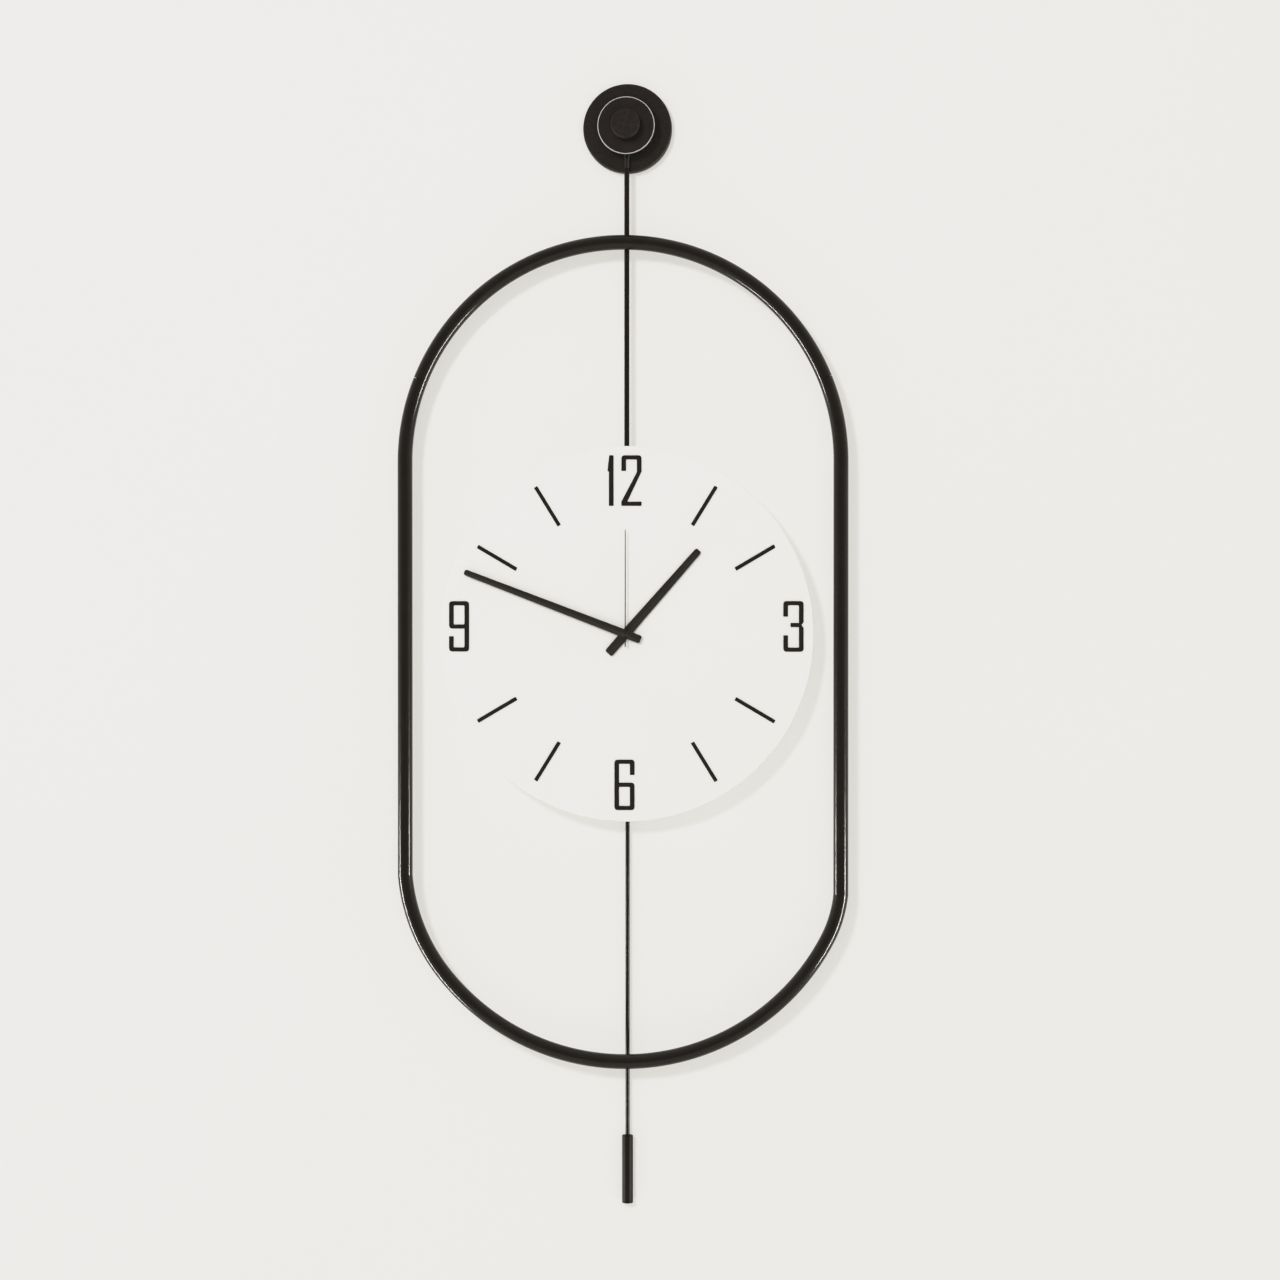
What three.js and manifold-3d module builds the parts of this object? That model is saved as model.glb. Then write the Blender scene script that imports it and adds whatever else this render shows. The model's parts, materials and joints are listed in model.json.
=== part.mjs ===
// Pendulum wall clock: a round dial and an oval tube frame hang from a wall hook on one rod, and a
// battery movement behind the dial turns three hands and keeps a rod pendulum swinging.
// Millimetres. +Z is up, the front faces -Y, and the wall is the plane y = 0. The origin is the
// centre of the hook's back face. Every shaft in the clock lies along Y.

import * as THREE from 'three';
import { mergeVertices } from 'three/addons/utils/BufferGeometryUtils.js';
import Module from 'manifold-3d';

const wasm = await Module();
wasm.setup();

// ---------------------------------------------------------------------------------------------
// Driving dimensions
// ---------------------------------------------------------------------------------------------

const GAP = 0.3; // clearance between pieces that rest against each other
const RUN = 0.25; // radial clearance of a shaft in its hole

// Smoothness of round pieces, in sides
const LARGE_SIDES = 36;
const MEDIUM_SIDES = 20;
const SMALL_SIDES = 12;
const PIN_SIDES = 8;

// Wall hook
const ROSETTE_RADIUS = 35.65;
const ROSETTE_DEPTH = 9;
const ROSETTE_WALL = 1.2;
const BASE_RADIUS = 28;
const BASE_THICKNESS = 3;
const BOSS_RADIUS = 8;
const WALL_SCREW_OFFSET = 18;
const WALL_SCREW_SEAT = -0.9; // level where the head's cone ends in the shank
const WALL_SCREW_REACH = 25;
const COUNTERSINK = { hole: 2.6, mouth: 5.2, bottom: -0.6, top: -2.3 };
const SPINDLE_RADIUS = 4;
const SPINDLE_LENGTH = 9;
const COLLAR_RADIUS = 7;
const COLLAR_THICKNESS = 2;
const BASE_STUD_RADIUS = 3;
const BASE_STUD_END = -3.8;
const FRONT_STUD_RADIUS = 2.5;
const FRONT_DISC_RADIUS = 23.2;
const FRONT_DISC_THICKNESS = 4;
const FRONT_DISC_CHAMFER = 0.9;
const BUTTON_RADIUS = 11.5;
const BUTTON_THICKNESS = 10.3;
const BUTTON_CHAMFER = 0.7;

// Screws: radius and height of the head, radius of the shank
const WALL_SCREW = { head: 4.6, height: 2.1, shank: 2.2 };
const SMALL_SCREW = { head: 2.8, height: 1.6, shank: 1.3 };
const SCREW_RIM = 0.4; // upright edge of a head
const SCREW_BITE = 3; // depth of the small screws in the dial

// Oval frame: a half circle on top, straight sides, and a flatter arc at the bottom. A tighter bend
// at each end of the bottom arc leads up to the side, which it meets at a slight angle.
const FRAME_RADIUS = 174.8; // half the width between the tube's centre lines
const FRAME_OFFSET = -3.3; // the frame hangs a little to the left of the rod
const TUBE_RADIUS = 6;
const TUBE_BORE = 5;
const FRAME_TOP = -93.2;
const FRAME_LOWEST = -749;
const BOTTOM_RADIUS = 184.2;
const BOTTOM_SHIFT = 0.8; // the bottom arc's centre lies this far to the right of the frame's
const END_BENDS = {
  left: { side: -1, radius: 147, kink: THREE.MathUtils.degToRad(5) },
  right: { side: 1, radius: 100, kink: THREE.MathUtils.degToRad(6) },
};
const SEAM_ANGLE = THREE.MathUtils.degToRad(22); // seams of the top arc, above the widest level
const PLUG_RADIUS = 4.2;
const PLUG_REACH = 20;
const TUBE_SIDES = 12;
const BORE_SIDES = 8;
const TUBE_STEP = 18;

// Hanger rod and its loop
const ROD_RADIUS = 2.1;
const WIRE_RADIUS = 0.8;
const ROD_TOP = -33;
const LOOP_NECK = -19.5; // level where the strands run close together
const LOOP_NECK_HALF_WIDTH = 1.75;
const LOOP_STEPS = 30;
const LOOP_SPLICE = 6; // length of the strands that lie together above the rod

// Channel bracket between the rod and the dial; its levels are above the dial's centre
const BRACKET = { top: 105, bottom: 45, sheet: 1.5, webHalf: 7, flangeHalf: 21, screwX: 14 };
const ROD_END = 4; // above the bracket's lower end

// Dial
const DIAL_CENTRE = -406.3;
const DIAL_RADIUS = 150;
const DIAL_THICKNESS = 5;
const DIAL_CHAMFER = 0.6;
const DIAL_HOLE = 3.6;

// Numerals and hour marks, raised pieces on the dial
const MARKING_THICKNESS = 1;
const NUMERAL_HEIGHT = 40.3;
const NUMERAL_WIDTH = 16.1;
const STROKE_ACROSS = 3.7; // thickness of an upright stroke
const STROKE_UP = 3.3; // thickness of a level stroke
const NUMERAL_CORNER = 2.6;
const INNER_CORNER = 0.8;
const NUMERAL_UPPER_REACH = 122.4; // dial centre to the middle of the 12
const NUMERAL_LOWER_REACH = 120.6;
const NUMERAL_SIDE_REACH = 133.8;
const NUMERAL_SIDE_RISE = 6; // the 3 and the 9 sit above the centre line
const ONE_X = -11.6; // middle of the 12's first figure
const TWO_X = 4.6;
const SIX_X = -1;
const MARK_INNER = 101.7;
const MARK_OUTER = 137.9;
const MARK_WIDTH = 3;
const MARK_ANGLES = [31.6, 59.5].map(THREE.MathUtils.degToRad); // from the nearer upright

// Hands: reach and width, and the way each points, in degrees clockwise from twelve
const HOUR_HAND = { tip: 88.7, tail: 21, hubWidth: 7.7, tipWidth: 5.6, points: 41.3 };
const MINUTE_HAND = { tip: 138.3, tail: 13.1, hubWidth: 6.6, tipWidth: 4.7, points: 291 };
const SECOND_HAND = { tip: 83, tail: 10.4, hubWidth: 0.7, tipWidth: 0.5, points: 0 };
const HAND_THICKNESS = 1.2;
const NEEDLE_THICKNESS = 0.5;
const HAND_END_CHAMFER = 1.6;
const HUB_CAP_RADIUS = 1.6;
const HUB_CAP_THICKNESS = 1.5;
const NEEDLE_SETBACK = 0.4; // from the back of the cap to the back of the needle
const SECOND_SHAFT_REACH = 0.7; // how far the shaft goes into the cap

// Movement case, measured from the shaft in the dial's centre
const CASE_HALF_WIDTH = 29;
const CASE_TOP = 28;
const CASE_BOTTOM = -46;
const CASE_DEPTH = 14.5;
const CASE_WALL = 1.5;
const COVER_THICKNESS = 1.2;
const COVER_FACE = -6.3; // the cover's outer face
const EAR_OFFSET = 33.5;
const EAR_HEIGHT = 8;
const EAR_RADIUS = 5;
const BATTERY_RADIUS = 7.25;
const BATTERY_LENGTH = 50.5;
const BATTERY_LEVEL = -21.6;
const GEAR_BAY_FLOOR = -12.5;
const BATTERY_BAY_HALF_HEIGHT = 8;
const COIL_BAY_TOP = -31;
const WINDOW_RIM = 0.3; // how far the cover laps over the battery bay's edges

// Shafts, from the inside out
const SECOND_SHAFT = 0.5;
const MINUTE_TUBE = { outer: 1.35, bore: 0.75 };
const HOUR_TUBE = { outer: 2.2, bore: 1.6 };
const BUSH_RADIUS = 3.2;
const PIVOT_RADIUS = 0.4;
const PIVOT_HOLE = 0.7;
const PIVOT_REACH = 0.8; // into the front wall
const ARBOR_RADIUS = 0.55;
const MINUTE_WHEEL_HUB = 1.4;
const ROTOR_MAGNET = { radius: 2.6, back: -12.8, front: -15.6 };
const KNOB = { face: -2.6, crest: 6, groove: 5.5, ridges: 12, shaft: 1 };

// Motor, measured from the rotor's axis; circuit board and coils
const STATOR = { back: -13.5, thickness: 1.2, half: 6.6, bottom: 13.2, top: 24.6, rotorHole: 3.1 };
const STATOR_WINDOW = { rim: 1.6, bottom: 20.9, top: 23.4 };
const MOTOR_COIL = { outer: 2.3, bore: 1.3, level: 24, inset: 2 };
const BOARD = { back: -9.4, front: -10.4, left: -26, right: -8.5, bottom: 17.6, top: 25.6 };
const CHIP = { back: -10.3, front: -11.4, left: -24.5, right: -20, bottom: 19.4, top: 23.8 };
const CRYSTAL = { radius: 1.2, length: 6, left: -17.5, y: -11.3, level: 21.6 };
const DRIVE_COIL = { outer: 6.2, bore: 2.5, length: 5.5 };
const CONTACT = { sheet: 0.5, half: 4, spring: 1.3, springWide: 4.5, springNarrow: 2 };

// Pendulum
const SWING_PIVOT = 22; // above the shaft
const SWING_PIN_RADIUS = 1.2;
const SWING_PIN_HEAD = { radius: 2.2, thickness: 0.7 };
const ARM_CORNER = 3;
const ARM_RISE = 4.2; // top of the arm above its pivot
const ARM_HALF_WIDTH = 5;
const ARM_THICKNESS = 2.5;
const ARM_BACK = -3;
const SOCKET_TOP = -48;
const SOCKET_BOTTOM = -60;
const SOCKET_HALF_WIDTH = 4;
const SOCKET_FRONT = -8.6;
const MAGNET_LEVEL = -37.5;
const MAGNET_RADIUS = 4;
const EYE = { half: 7, top: -29.5, bottom: -43.5, shoulder: -23.5 }; // the arm's wide part round the magnet
const PENDULUM_ROD_RADIUS = 1.7;
const PENDULUM_PLANE = -5.6;
const WEIGHT_RADIUS = 4.4;
const WEIGHT_TOP = -810.6;
const WEIGHT_BOTTOM = -865.4;
const SOCKET_DEPTH = 9;

// Levels that follow from the dimensions above
const LOOP_PLANE = -(ROSETTE_DEPTH + GAP + COLLAR_THICKNESS) - 2.65;
const FRAME_PLANE = LOOP_PLANE - ROD_RADIUS - GAP - TUBE_RADIUS;
const HOUSING_BACK = COVER_FACE - COVER_THICKNESS - GAP;
const HOUSING_FRONT = HOUSING_BACK - CASE_DEPTH;
const HOUSING_FLOOR = HOUSING_FRONT + CASE_WALL; // the inner side of the front wall
const DIAL_BACK = HOUSING_FRONT - GAP;
const DIAL_FRONT = DIAL_BACK - DIAL_THICKNESS;
const MARKING_BACK = DIAL_FRONT - GAP;
const HOUR_HAND_BACK = DIAL_FRONT - 1.3;
const MINUTE_HAND_BACK = HOUR_HAND_BACK - HAND_THICKNESS - 1;
const SECOND_HAND_BACK = MINUTE_HAND_BACK - HAND_THICKNESS - 0.6;
const UPPER_ARC_CENTRE = FRAME_TOP - FRAME_RADIUS;
const BOTTOM_CENTRE = FRAME_LOWEST + BOTTOM_RADIUS;

// ---------------------------------------------------------------------------------------------
// Finishes
// ---------------------------------------------------------------------------------------------

function finish(color, roughness, metalness) {
  return new THREE.MeshStandardMaterial({ color, roughness, metalness });
}

const BLACK_PAINT = finish(0x2b2724, 0.42, 0.2);
const GLOSS_BLACK = finish(0x24211f, 0.25, 0.2);
const STEEL = finish(0xa5a7a9, 0.35, 1);
const BRASS = finish(0xb8945a, 0.35, 1);
const WHITE_LACQUER = finish(0xeceae6, 0.6, 0);
const BLACK_MOULDING = finish(0x1d1d1e, 0.55, 0);
const WHITE_MOULDING = finish(0xe6e4dd, 0.5, 0);
const COPPER = finish(0xb5653a, 0.4, 0.8);
const BOARD_GREEN = finish(0x2f6a3c, 0.6, 0);
const BATTERY_SLEEVE = finish(0x4a4f57, 0.4, 0.3);
const MAGNET_GREY = finish(0x55575a, 0.4, 0.8);

// ---------------------------------------------------------------------------------------------
// Geometry helpers
// ---------------------------------------------------------------------------------------------

// Six times the volume of a closed mesh; negative when its faces point inward.
function signedVolume(geometry) {
  const at = geometry.getAttribute('position');
  const corners = [0, 1, 2].map(() => new THREE.Vector3());
  let volume = 0;
  for (let i = 0; i < geometry.index.count; i += 3) {
    corners.forEach((corner, k) => corner.fromBufferAttribute(at, geometry.index.getX(i + k)));
    volume += corners[0].dot(corners[1].cross(corners[2]));
  }
  return volume;
}

// Shares the vertices of a closed geometry, drops its empty triangles and turns its faces outward.
function closed(geometry) {
  const bare = geometry.clone();
  Object.keys(bare.attributes)
    .filter((name) => name !== 'position')
    .forEach((name) => bare.deleteAttribute(name));
  const merged = mergeVertices(bare, 1e-4);
  const kept = [];
  for (let i = 0; i < merged.index.count; i += 3) {
    const [a, b, c] = [0, 1, 2].map((k) => merged.index.getX(i + k));
    if (a !== b && b !== c && c !== a) kept.push(a, b, c);
  }
  merged.setIndex(kept);
  if (signedVolume(merged) < 0) merged.setIndex(kept.reverse());
  return merged;
}

function toManifold(geometry) {
  const mesh = closed(geometry);
  return new wasm.Manifold(new wasm.Mesh({
    numProp: 3,
    vertProperties: new Float32Array(mesh.getAttribute('position').array),
    triVerts: new Uint32Array(mesh.index.array),
  }));
}

function fromManifold(solid) {
  const mesh = solid.getMesh();
  const geometry = new THREE.BufferGeometry();
  geometry.setAttribute('position', new THREE.BufferAttribute(mesh.vertProperties, 3));
  geometry.setIndex(new THREE.BufferAttribute(mesh.triVerts, 1));
  return geometry;
}

function join(...geometries) {
  return fromManifold(geometries.map(toManifold).reduce((sum, next) => sum.add(next)));
}

function cut(body, ...tools) {
  const subtract = (rest, tool) => rest.subtract(tool);
  return fromManifold(tools.map(toManifold).reduce(subtract, toManifold(body)));
}

// A solid of revolution about an axis along Y. The profile is a list of [radius, y].
function turned(profile, sides, x = 0, z = 0) {
  const points = profile.map(([radius, y]) => new THREE.Vector2(radius, y));
  return closed(new THREE.LatheGeometry(points, sides)).translate(x, 0, z);
}

// A round bar along Y between two levels.
function pin(radius, from, to, sides = PIN_SIDES, x = 0, z = 0) {
  return turned([[0, from], [radius, from], [radius, to], [0, to]], sides, x, z);
}

// A ring along Y between two levels.
function sleeve(outer, bore, from, to, sides, x = 0, z = 0) {
  return turned([[bore, from], [outer, from], [outer, to], [bore, to], [bore, from]], sides, x, z);
}

// A flat piece: an outline drawn as seen from the front, given a thickness towards the front.
function plate(outline, back, thickness, curveSegments = 4) {
  const geometry = new THREE.ExtrudeGeometry(outline, {
    depth: thickness,
    bevelEnabled: false,
    curveSegments,
  });
  return closed(geometry.rotateX(Math.PI / 2).translate(0, back, 0));
}

function block([xLow, xHigh], [yLow, yHigh], [zLow, zHigh]) {
  return new THREE.BoxGeometry(xHigh - xLow, yHigh - yLow, zHigh - zLow)
    .translate((xLow + xHigh) / 2, (yLow + yHigh) / 2, (zLow + zHigh) / 2);
}

// An upright round bar with chamfered ends.
function upright(radius, top, bottom, y, chamfer, sides) {
  const profile = [
    [0, bottom], [radius - chamfer, bottom], [radius, bottom + chamfer],
    [radius, top - chamfer], [radius - chamfer, top], [0, top],
  ];
  return turned(profile, sides).rotateX(Math.PI / 2).translate(0, y, 0);
}

function circle(radius, sides) {
  const outline = new THREE.Path();
  for (let i = 0; i < sides; i += 1) {
    const angle = (2 * Math.PI * i) / sides;
    outline[i ? 'lineTo' : 'moveTo'](radius * Math.cos(angle), radius * Math.sin(angle));
  }
  return outline;
}

// A tube or, with no bore, a bar that follows a path.
function swept(path, radius, bore, sides, step) {
  const section = new THREE.Shape(circle(radius, sides).getPoints());
  if (bore) section.holes.push(circle(bore, BORE_SIDES));
  const steps = Math.max(2, Math.round(path.getLength() / step));
  return closed(new THREE.ExtrudeGeometry(section, { steps, extrudePath: path, bevelEnabled: false }));
}

function polygon(corners) {
  return new THREE.Shape(corners.map(([x, z]) => new THREE.Vector2(x, z)));
}

// A screw along Y with a tapering head: the head ends at the seat, and the shank at the tip.
function screw({ head, height, shank }, seat, tip, x, z) {
  const way = Math.sign(tip - seat);
  const top = seat - way * height;
  const point = shank * 1.5;
  const profile = [
    [0, top], [head, top], [head, top + way * SCREW_RIM],
    [shank, seat], [shank, tip - way * point], [0, tip],
  ];
  return turned(profile, SMALL_SIDES, x, z);
}

const clock = new THREE.Group();

function piece(name, geometry, material) {
  const mesh = new THREE.Mesh(geometry, material.clone());
  mesh.name = name;
  clock.add(mesh);
}

// ---------------------------------------------------------------------------------------------
// Wall hook
// ---------------------------------------------------------------------------------------------

function buildHook() {
  const bossFace = -(ROSETTE_DEPTH - ROSETTE_WALL - GAP);
  const { hole, mouth, bottom, top } = COUNTERSINK;
  const beyond = -BASE_THICKNESS - 1;
  const screwHoles = [1, -1].map((side) => turned([
    [0, 1], [hole, 1], [hole, bottom], [mouth, top], [mouth, beyond], [0, beyond],
  ], SMALL_SIDES, 0, side * WALL_SCREW_OFFSET));
  const base = join(
    pin(BASE_RADIUS, 0, -BASE_THICKNESS, MEDIUM_SIDES),
    pin(BOSS_RADIUS, -BASE_THICKNESS + GAP, bossFace, SMALL_SIDES),
  );
  const studSocket = pin(BASE_STUD_RADIUS + GAP, BASE_STUD_END + GAP, bossFace - 1, SMALL_SIDES);
  piece('hook_base', cut(base, studSocket, ...screwHoles), STEEL);

  [['upper', 1], ['lower', -1]].forEach(([place, side]) => {
    const shape = screw(WALL_SCREW, WALL_SCREW_SEAT, WALL_SCREW_REACH, 0, side * WALL_SCREW_OFFSET);
    piece(`wall_screw_${place}`, shape, STEEL);
  });

  const rosetteFront = -ROSETTE_DEPTH;
  const rosetteInside = rosetteFront + ROSETTE_WALL;
  const studHole = BASE_STUD_RADIUS + GAP;
  piece('hook_rosette', turned([
    [studHole, rosetteFront],
    [ROSETTE_RADIUS - ROSETTE_WALL, rosetteFront],
    [ROSETTE_RADIUS, rosetteFront + ROSETTE_WALL],
    [ROSETTE_RADIUS, 0],
    [ROSETTE_RADIUS - ROSETTE_WALL, 0],
    [ROSETTE_RADIUS - ROSETTE_WALL, rosetteInside],
    [studHole, rosetteInside],
    [studHole, rosetteFront],
  ], LARGE_SIDES), BLACK_PAINT);

  const collarBack = rosetteFront - GAP;
  const collarFront = collarBack - COLLAR_THICKNESS;
  const shoulder = collarFront - SPINDLE_LENGTH;
  const discBack = shoulder - GAP;
  const discFront = discBack - FRONT_DISC_THICKNESS;
  const buttonBack = discFront - GAP;
  const buttonFront = buttonBack - BUTTON_THICKNESS;
  const frontStudEnd = buttonBack - BUTTON_THICKNESS / 2;
  piece('hook_spindle', turned([
    [0, BASE_STUD_END], [BASE_STUD_RADIUS, BASE_STUD_END], [BASE_STUD_RADIUS, collarBack],
    [COLLAR_RADIUS, collarBack], [COLLAR_RADIUS, collarFront],
    [SPINDLE_RADIUS, collarFront], [SPINDLE_RADIUS, shoulder],
    [FRONT_STUD_RADIUS, shoulder], [FRONT_STUD_RADIUS, frontStudEnd], [0, frontStudEnd],
  ], SMALL_SIDES), BLACK_PAINT);

  const studBore = FRONT_STUD_RADIUS + GAP;
  piece('hook_front_disc', turned([
    [studBore, discBack],
    [FRONT_DISC_RADIUS, discBack],
    [FRONT_DISC_RADIUS, discFront + FRONT_DISC_CHAMFER],
    [FRONT_DISC_RADIUS - FRONT_DISC_CHAMFER, discFront],
    [studBore, discFront],
    [studBore, discBack],
  ], LARGE_SIDES), GLOSS_BLACK);

  piece('hook_button', turned([
    [studBore, buttonBack],
    [BUTTON_RADIUS, buttonBack],
    [BUTTON_RADIUS, buttonFront + BUTTON_CHAMFER],
    [BUTTON_RADIUS - BUTTON_CHAMFER, buttonFront],
    [0, buttonFront],
    [0, frontStudEnd - GAP],
    [studBore, frontStudEnd - GAP],
    [studBore, buttonBack],
  ], MEDIUM_SIDES), BLACK_PAINT);
}

// ---------------------------------------------------------------------------------------------
// Hanger: a wire loop over the spindle, and the rod that carries the frame and the dial
// ---------------------------------------------------------------------------------------------

function buildHanger() {
  const strand = WIRE_RADIUS + GAP / 2;
  const wrap = SPINDLE_RADIUS + GAP + WIRE_RADIUS;
  const end = ROD_TOP + GAP;
  const wrapSteps = 8;
  const halfTurn = Array.from({ length: wrapSteps + 1 }, (_, i) => {
    const angle = Math.PI - (Math.PI * i) / wrapSteps;
    return [wrap * Math.cos(angle), wrap * Math.sin(angle)];
  });
  const right = [[LOOP_NECK_HALF_WIDTH, LOOP_NECK], [strand, ROD_TOP + LOOP_SPLICE], [strand, end]];
  const left = right.map(([x, z]) => [-x, z]).reverse();
  const route = [...left, ...halfTurn, ...right].map(([x, z]) => new THREE.Vector3(x, LOOP_PLANE, z));
  const path = new THREE.CatmullRomCurve3(route, false, 'centripetal');
  const step = path.getLength() / LOOP_STEPS;
  piece('hanger_loop', swept(path, WIRE_RADIUS, 0, PIN_SIDES, step), BLACK_PAINT);

  const bracketTop = DIAL_CENTRE + BRACKET.top;
  const bracketBottom = DIAL_CENTRE + BRACKET.bottom;
  const rod = upright(ROD_RADIUS, ROD_TOP, bracketBottom + ROD_END, LOOP_PLANE, 0.4, TUBE_SIDES);
  piece('hanger_rod', rod, BLACK_PAINT);

  // A folded steel channel: two flanges on the back of the dial and a raised web under the rod.
  const { sheet, webHalf, flangeHalf, screwX } = BRACKET;
  const web = LOOP_PLANE - ROD_RADIUS - GAP;
  const flange = DIAL_BACK + GAP;
  const outer = [
    [flangeHalf, flange], [flangeHalf, flange + sheet], [webHalf, flange + sheet], [webHalf, web],
  ];
  const inner = [[webHalf - sheet, web - sheet], [webHalf - sheet, flange]];
  const mirrored = (corners) => corners.map(([x, y]) => [-x, y]).reverse();
  const section = polygon([...outer, ...mirrored(outer), ...mirrored(inner), ...inner]);
  const depth = bracketTop - bracketBottom;
  const channel = new THREE.ExtrudeGeometry(section, { depth, bevelEnabled: false });
  channel.translate(0, 0, bracketBottom);

  const screwLevel = (bracketTop + bracketBottom) / 2;
  const places = [['left', -screwX], ['right', screwX]];
  const holes = places.map(([, x]) => (
    pin(SMALL_SCREW.shank + GAP, flange + sheet + 1, flange - 1, PIN_SIDES, x, screwLevel)
  ));
  piece('dial_bracket', cut(channel, ...holes), STEEL);
  places.forEach(([place, x]) => {
    const shape = screw(SMALL_SCREW, flange + sheet + GAP, DIAL_BACK - SCREW_BITE, x, screwLevel);
    piece(`bracket_screw_${place}`, shape, STEEL);
  });
  return places.map(([, x]) => [x, screwLevel]);
}

// ---------------------------------------------------------------------------------------------
// Oval frame
// ---------------------------------------------------------------------------------------------

// An arc in the frame's plane; its angles are measured from the right-hand horizontal.
class Arc extends THREE.Curve {
  constructor(centreX, centreZ, radius, from, to) {
    super();
    Object.assign(this, { centreX, centreZ, radius, from, to });
  }

  getPoint(t, target = new THREE.Vector3()) {
    const angle = this.from + (this.to - this.from) * t;
    const x = this.centreX + this.radius * Math.cos(angle);
    const z = this.centreZ + this.radius * Math.sin(angle);
    return target.set(x, FRAME_PLANE, z);
  }
}

function chain(...curves) {
  const path = new THREE.CurvePath();
  curves.forEach((curve) => path.add(curve));
  return path;
}

// One end bend of the bottom arc, tangent to it, from the side's kink down to where they join.
function endBend({ side, radius, kink }) {
  const across = FRAME_RADIUS - side * BOTTOM_SHIFT - radius * Math.cos(kink);
  const join = Math.acos(across / (BOTTOM_RADIUS - radius));
  const centreX = FRAME_OFFSET + side * (FRAME_RADIUS - radius * Math.cos(kink));
  const centreZ = BOTTOM_CENTRE - (BOTTOM_RADIUS - radius) * Math.sin(join);
  const below = (angle) => (side > 0 ? -angle : Math.PI + angle);
  return {
    join: below(join),
    kinkLevel: centreZ - radius * Math.sin(kink),
    arc: (from, to) => new Arc(centreX, centreZ, radius, below(from), below(to)),
    whole: (inset) => new Arc(centreX, centreZ, radius, below(kink + inset / radius), below(join)),
  };
}

function backwards({ centreX, centreZ, radius, from, to }) {
  return new Arc(centreX, centreZ, radius, to, from);
}

function buildFrame() {
  const halfSeam = GAP / 2 / FRAME_RADIUS;
  const tube = (path) => swept(path, TUBE_RADIUS, TUBE_BORE, TUBE_SIDES, TUBE_STEP);
  const plug = (path) => swept(path, PLUG_RADIUS, 0, PIN_SIDES, PLUG_REACH / 2);
  const upper = (from, to) => new Arc(FRAME_OFFSET, UPPER_ARC_CENTRE, FRAME_RADIUS, from, to);
  const mitre = ({ kink }) => TUBE_RADIUS * Math.tan(kink / 2) + GAP;

  const topArc = upper(SEAM_ANGLE + halfSeam, Math.PI - SEAM_ANGLE - halfSeam);
  piece('frame_top_arc', tube(topArc), GLOSS_BLACK);

  const [leftBend, rightBend] = [END_BENDS.left, END_BENDS.right].map(endBend);
  const middle = new Arc(
    FRAME_OFFSET + BOTTOM_SHIFT, BOTTOM_CENTRE, BOTTOM_RADIUS, leftBend.join, 2 * Math.PI + rightBend.join,
  );
  const rightEnd = backwards(rightBend.whole(mitre(END_BENDS.right)));
  const bottomArc = chain(leftBend.whole(mitre(END_BENDS.left)), middle, rightEnd);
  piece('frame_bottom_arc', tube(bottomArc), GLOSS_BLACK);

  Object.entries(END_BENDS).forEach(([place, bend]) => {
    const { side, radius, kink } = bend;
    const { kinkLevel, arc } = endBend(bend);
    const mirrored = (angle) => (side > 0 ? angle : Math.PI - angle);
    const point = (z) => new THREE.Vector3(FRAME_OFFSET + side * FRAME_RADIUS, FRAME_PLANE, z);

    const shoulder = upper(mirrored(SEAM_ANGLE - halfSeam), mirrored(0));
    const straight = new THREE.LineCurve3(point(UPPER_ARC_CENTRE), point(kinkLevel + mitre(bend)));
    piece(`frame_${place}_side`, tube(chain(shoulder, straight)), GLOSS_BLACK);

    const reach = PLUG_REACH / FRAME_RADIUS;
    const seamPlug = plug(upper(mirrored(SEAM_ANGLE + reach), mirrored(SEAM_ANGLE - reach)));
    piece(`frame_upper_${place}_plug`, seamPlug, STEEL);

    const entry = new THREE.LineCurve3(point(kinkLevel + PLUG_REACH), point(kinkLevel));
    const kinkPlug = plug(chain(entry, arc(kink, kink + PLUG_REACH / radius)));
    piece(`frame_lower_${place}_plug`, kinkPlug, STEEL);
  });
}

// ---------------------------------------------------------------------------------------------
// Dial, numerals and hour marks
// ---------------------------------------------------------------------------------------------

function buildDial(screwPlaces) {
  const disc = turned([
    [DIAL_HOLE, DIAL_BACK],
    [DIAL_RADIUS, DIAL_BACK],
    [DIAL_RADIUS, DIAL_FRONT + DIAL_CHAMFER],
    [DIAL_RADIUS - DIAL_CHAMFER, DIAL_FRONT],
    [DIAL_HOLE, DIAL_FRONT],
    [DIAL_HOLE, DIAL_BACK],
  ], LARGE_SIDES + LARGE_SIDES / 2, 0, DIAL_CENTRE);
  const holes = screwPlaces.map(([x, z]) => (
    pin(SMALL_SCREW.shank + GAP, DIAL_BACK + 1, DIAL_BACK - SCREW_BITE - GAP, PIN_SIDES, x, z)
  ));
  piece('dial', cut(disc, ...holes), WHITE_LACQUER);
}

// Numeral outlines are drawn about their own centre from these levels.
const NUMERAL = {
  left: -NUMERAL_WIDTH / 2,
  right: NUMERAL_WIDTH / 2,
  top: NUMERAL_HEIGHT / 2,
  bottom: -NUMERAL_HEIGHT / 2,
};

// Follows corners given as [x, z, rounding], with an arc where the rounding isn't zero.
function roundedShape(corners) {
  const shape = new THREE.Shape();
  const count = corners.length;
  corners.forEach(([x, z, rounding = 0], i) => {
    const here = new THREE.Vector2(x, z);
    const towards = (j) => new THREE.Vector2(...corners[(j + count) % count].slice(0, 2))
      .sub(here).normalize().multiplyScalar(rounding).add(here);
    const [start, end] = [towards(i - 1), towards(i + 1)];
    shape[i ? 'lineTo' : 'moveTo'](start.x, start.y);
    if (rounding) shape.quadraticCurveTo(x, z, end.x, end.y);
  });
  return shape;
}

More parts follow.
